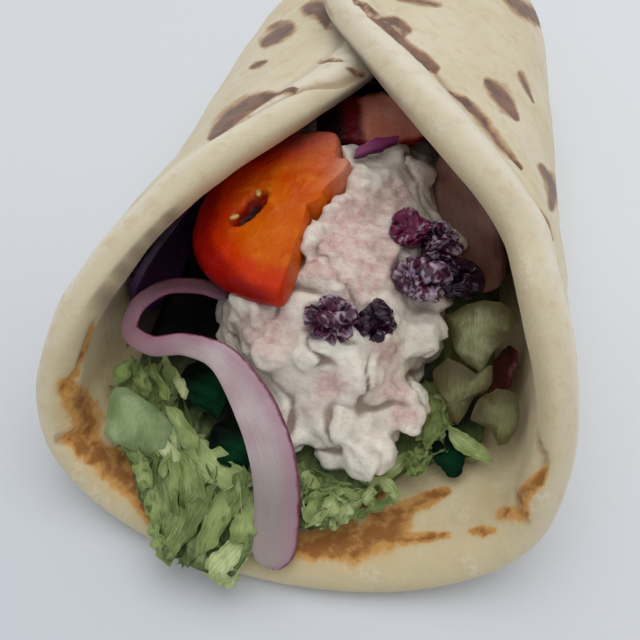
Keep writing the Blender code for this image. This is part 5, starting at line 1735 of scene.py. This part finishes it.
sheet_piece("onion_long_strip", (22, 300), strip_run, STRIP_THICKNESS, lilac, "onion_strip",
            thin_edge=0.6)

# %% [markdown]
# Four pieces lie deeper: a violet slice at the left, coloured dark with painted shade, a broad
# mauve petal at the right wall, a dark red one under it and a magenta strip behind the salad. The
# left one is nearly hidden, so its imported solid is cut finer and used as it is. The petals are
# blades and the strip a ribbon.

# %% Onion petals and the strip behind
# the left slice's colours are painted shade, dark violet all over
violet = onion_finish("onion_shaded", paint(84, 48, 88), paint(58, 26, 66), paint(36, 10, 44),
                      (0.4, 0.9))
mauve = onion_finish("onion_mauve", paint(158, 112, 96), paint(132, 88, 76), paint(96, 48, 50),
                     (0.6, 0.98))
maroon = onion_finish("onion_deep_red", paint(140, 70, 66), paint(110, 44, 48), paint(84, 24, 34),
                      (0.3, 0.9))
magenta = onion_finish("onion_back", paint(158, 76, 124), paint(126, 34, 92), paint(84, 10, 58),
                       (0.1, 0.7))
low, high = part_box("onion_left")
petal = solid_copy("onion_left")
bmesh.ops.subdivide_edges(petal, edges=petal.edges[:], cuts=3, use_grid_fill=True, smooth=0.0)
lay = petal.verts.layers.float_vector.new("lay")
for vert in petal.verts:
    up = 2 * (vert.co.z - low.z) / (high.z - low.z) - 1
    along = 2 * (vert.co.y - low.y) / (high.y - low.y) - 1
    vert[lay] = (up, along, 0)
    vert.co.x += 0.15 * MM * noise.noise(vert.co * 300.0)
as_piece("onion_left_petal", petal, violet, ["onion_left"])
low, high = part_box("onion_right_low")
low_halves = [2.6 * MM, 5.6 * MM, 6.4 * MM, 5.4 * MM, 2.4 * MM]
low_petal = blade(np.array((low + high) / 2), (0.0, 1.0, 0.25), (-1.0, -0.1, 0.3), 12 * MM,
                  low_halves, cup=0.4 * MM, wave=0.4 * MM, bend=0.3 * MM, seed=0.7)
sheet_piece("onion_right_low_petal", (24, 40), low_petal, 1.5 * MM, maroon, "onion_right_low",
            thin_edge=0.6)
broad_halves = [4.5 * MM, 7.0 * MM, 7.5 * MM, 7.0 * MM, 4.5 * MM]
broad_petal = blade(spot(31.5, 89, 38.5), (-0.36, 0.80, 0.46), (-0.35, -0.52, 0.78), 40 * MM,
                    broad_halves, cup=1.2 * MM, wave=0.5 * MM, bend=2.0 * MM, seed=1.3)
sheet_piece("onion_right_petal", (24, 50), broad_petal, 2.6 * MM, mauve, "onion_right",
            thin_edge=0.6, crisp=False)
behind_route = [spot(0.6, 93.0, 48.4), spot(5.6, 96.8, 49.2), spot(11.4, 101.2, 49.0)]
behind_run = ribbon(behind_route, [2.4 * MM, 3.6 * MM, 1.8 * MM], facing_viewer,
                    ruffle=0.1 * MM, waves=3.0, phase=0.0, cup=-0.2 * MM, torn=-0.1)
sheet_piece("onion_back_strip", (14, 40), behind_run, 1.2 * MM, magenta, "onion_back",
            thin_edge=0.6)

# %% [markdown]
# ## Dried cranberries
#
# A dried cranberry is a collapsed bag: deep folds in a leathery, almost black skin. Each starts
# as a dense sphere at its solid's place. Folded noise pulls the skin in along sharp valleys, and
# the dressing sticks to the ridges between them, so the same noise that shapes the berry decides
# where it is smeared with cream.

# %% Berries
# Each berry's place and radii, how much dressing sticks to it, and how red its skin is.
BERRIES = [((18.4, 72.0, 46.3), (3.7, 3.7, 3.2), 0.10, 0.6),
           ((23.4, 60.2, 42.6), (4.2, 4.9, 3.9), 0.36, 0.3),
           ((29.8, 66.0, 38.2), (4.9, 5.2, 4.4), -0.15, 0.0),
           ((4.9, 46.6, 40.2), (4.2, 4.8, 3.6), 0.36, 0.3),
           ((15.2, 48.2, 40.6), (3.5, 3.8, 3.4), 0.0, 0.05),
           ((25.6, 72.6, 43.2), (3.6, 3.8, 3.4), 0.35, 0.2)]
BERRY_PLUMP = 1.12
# Wide folds and fine wrinkles: how deep each is in radii, how fine, and how wide its valleys are.
FOLD_DEPTH, FOLD_SCALE, FOLD_WIDTH = 0.40, 0.8, 0.24
WRINKLE_DEPTH, WRINKLE_SCALE, WRINKLE_WIDTH = 0.09, 1.9, 0.2
# How uneven a berry is as a whole, and how thick the dressing lies, in radii.
UNEVEN = 0.34
DRESSING = 0.04


def berry_finish():
    made = Finish("dried_cranberry")
    rough_border = made.minus(made.grain(520.0, 5.0, 0.6, 0.5), 0.5)
    smear = made.plus(made.kept("cream"), made.times(rough_border, 0.7))
    skin = made.grain(300.0, 4.0, 0.6)
    red = made.plus(made.kept("redness"), made.swing(skin, 1.2))
    colour = made.mix(made.level(red, 0.0, 1.0), paint(30, 5, 30), paint(122, 20, 70))
    covered = made.level(smear, 0.16, 0.72)
    dressing = made.mix(made.level(skin, 0.35, 0.65), paint(148, 124, 154), paint(204, 186, 196))
    colour = made.mix(made.times(covered, 0.82), colour, dressing)
    gloss = made.plus(made.times(covered, 0.25), 0.16)
    return made.wear(Base_Color=colour, Roughness=gloss, Normal=made.relief(made.plus(skin, covered), 0.3),
                     Subsurface_Weight=0.1, Subsurface_Radius=(0.002, 0.0006, 0.0008),
                     Subsurface_Scale=0.5,
                     Specular_IOR_Level=0.25, Coat_Weight=0.2, Coat_Roughness=0.08)


berry_skin = berry_finish()
for number, (place, radii, dressed, redness) in enumerate(BERRIES, 1):
    berry = bmesh.new()
    bmesh.ops.create_icosphere(berry, subdivisions=6, radius=1.0)
    turn = Matrix.Rotation(0.6 * number, 3, "Z")
    shift = Vector((number * 5.1, number * 2.7, number * 1.9))
    smears = []
    for vert in berry.verts:
        direction = vert.co.normalized()
        drift = Vector((noise.noise(direction * 1.5), noise.noise(direction * 1.5 + shift), 0.0))
        bent = direction + 0.35 * drift
        fold_noise = abs(noise.noise(bent * FOLD_SCALE + shift))
        fold_line = float(smooth(1.0 - fold_noise / FOLD_WIDTH, 0.0, 1.0))
        wrinkle_noise = abs(noise.noise(bent * WRINKLE_SCALE + shift * 3))
        wrinkle = float(smooth(1.0 - wrinkle_noise / WRINKLE_WIDTH, 0.0, 1.0))
        size = (1.14 + UNEVEN * noise.noise(direction * 1.2 + shift)
                - FOLD_DEPTH * fold_line - WRINKLE_DEPTH * wrinkle)
        streak = Vector((direction.x * 3.0, direction.y * 9.0, direction.z * 6.0))
        smear = (0.55 * noise.noise(direction * 1.5 + shift * 2) + 0.65 * noise.noise(streak + shift)
                 + dressed - 0.2 * fold_line)
        smears.append(smear)
        size += DRESSING * float(smooth(smear, 0.2, 0.5))
        local = Vector([direction[k] * radii[k] * MM * size * BERRY_PLUMP for k in range(3)])
        vert.co = Vector(spot(*place)) + turn @ local
    made = as_piece(f"cranberry_{number}_dried", berry, berry_skin, [f"cranberry_{number}"])
    keep(made.data, "cream", np.clip(smears, -1, 2))
    keep(made.data, "redness", np.full(len(smears), redness))

# %% [markdown]
# ## Table and light
#
# The photograph was taken on a pale surface in soft daylight that comes from above and behind the
# wrap, so its shadow falls towards the viewer and the mouth stays dim. One very large area light
# gives that soft shadow, and a faint even sky fills it.

# %% Light the scene
SKY = (0.95, 0.97, 1.0, 1.0)
SKY_STRENGTH = 0.57
WINDOW_PLACE = (0.08, 0.14, 1.0)
WINDOW_SIZE = (1.1, 1.1)
WINDOW_WATTS = 4.4
WINDOW_COLOUR = (0.97, 0.985, 1.0)
LIGHT_AIM = (0.0, -0.03, 0.03)

scene = bpy.context.scene
scene.view_settings.view_transform = "Standard"
world = bpy.data.worlds.new("soft_room")
scene.world = world
world.use_nodes = True
world.node_tree.nodes["Background"].inputs["Color"].default_value = SKY
world.node_tree.nodes["Background"].inputs["Strength"].default_value = SKY_STRENGTH

window = bpy.data.lights.new("window", "AREA")
window.shape = "RECTANGLE"
window.size, window.size_y = WINDOW_SIZE
window.energy = WINDOW_WATTS
window.color = WINDOW_COLOUR
lamp = bpy.data.objects.new("window", window)
aim = (Vector(LIGHT_AIM) - Vector(WINDOW_PLACE)).to_track_quat("-Z", "Y")
lamp.matrix_world = Matrix.Translation(WINDOW_PLACE) @ aim.to_matrix().to_4x4()
scene.collection.objects.link(lamp)
print("window", round(lamp.location.length, 2), "m away, sky", SKY_STRENGTH)

# %% [markdown]
# The table is a plain pale sheet, with painted light that makes it a little brighter towards the
# back and the right. It is stage: it isn't part of the food. From the photograph's angle it reaches
# past every border.

# %% Lay the table
TABLE_REACH = 2.5
top = Finish("pale_table")
cloud = top.grain(4.0, 2.0)
table_place = top.place()
# painted light: brighter towards the back and the right
painted_light_back = top.level(top.part(table_place, 1), -0.15, 0.03, 0.0, 0.75)
painted_light_right = top.level(top.part(table_place, 0), -0.10, 0.12, 0.0, 0.25)
near_white = top.mix(top.plus(painted_light_back, painted_light_right), paint(217, 221, 227), paint(236, 238, 241))
table_colour = top.mix(top.times(cloud, 0.1), near_white, paint(214, 218, 224))
top.wear(Base_Color=table_colour, Roughness=0.65)
surface = bmesh.new()
bmesh.ops.create_grid(surface, x_segments=8, y_segments=8, size=TABLE_REACH)
table_mesh = bpy.data.meshes.new("table")
surface.to_mesh(table_mesh)
surface.free()
table_mesh.materials.append(top.material)
table = bpy.data.objects.new("table", table_mesh)
scene.collection.objects.link(table)
table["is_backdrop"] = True
print("table", round(2 * TABLE_REACH), "m wide")

# %% [markdown]
#
# The pieces must not outgrow the imported model. The high corner of the finished pieces' box is set
# against that of the solids, and how far it grew is printed.

# %% How far the pieces grew
made_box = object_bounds()
grown = [round((made_box[1][k] - cad_box[1][k]) / MM, 2) for k in range(3)]
print("grown by", grown, "mm at the high corner")
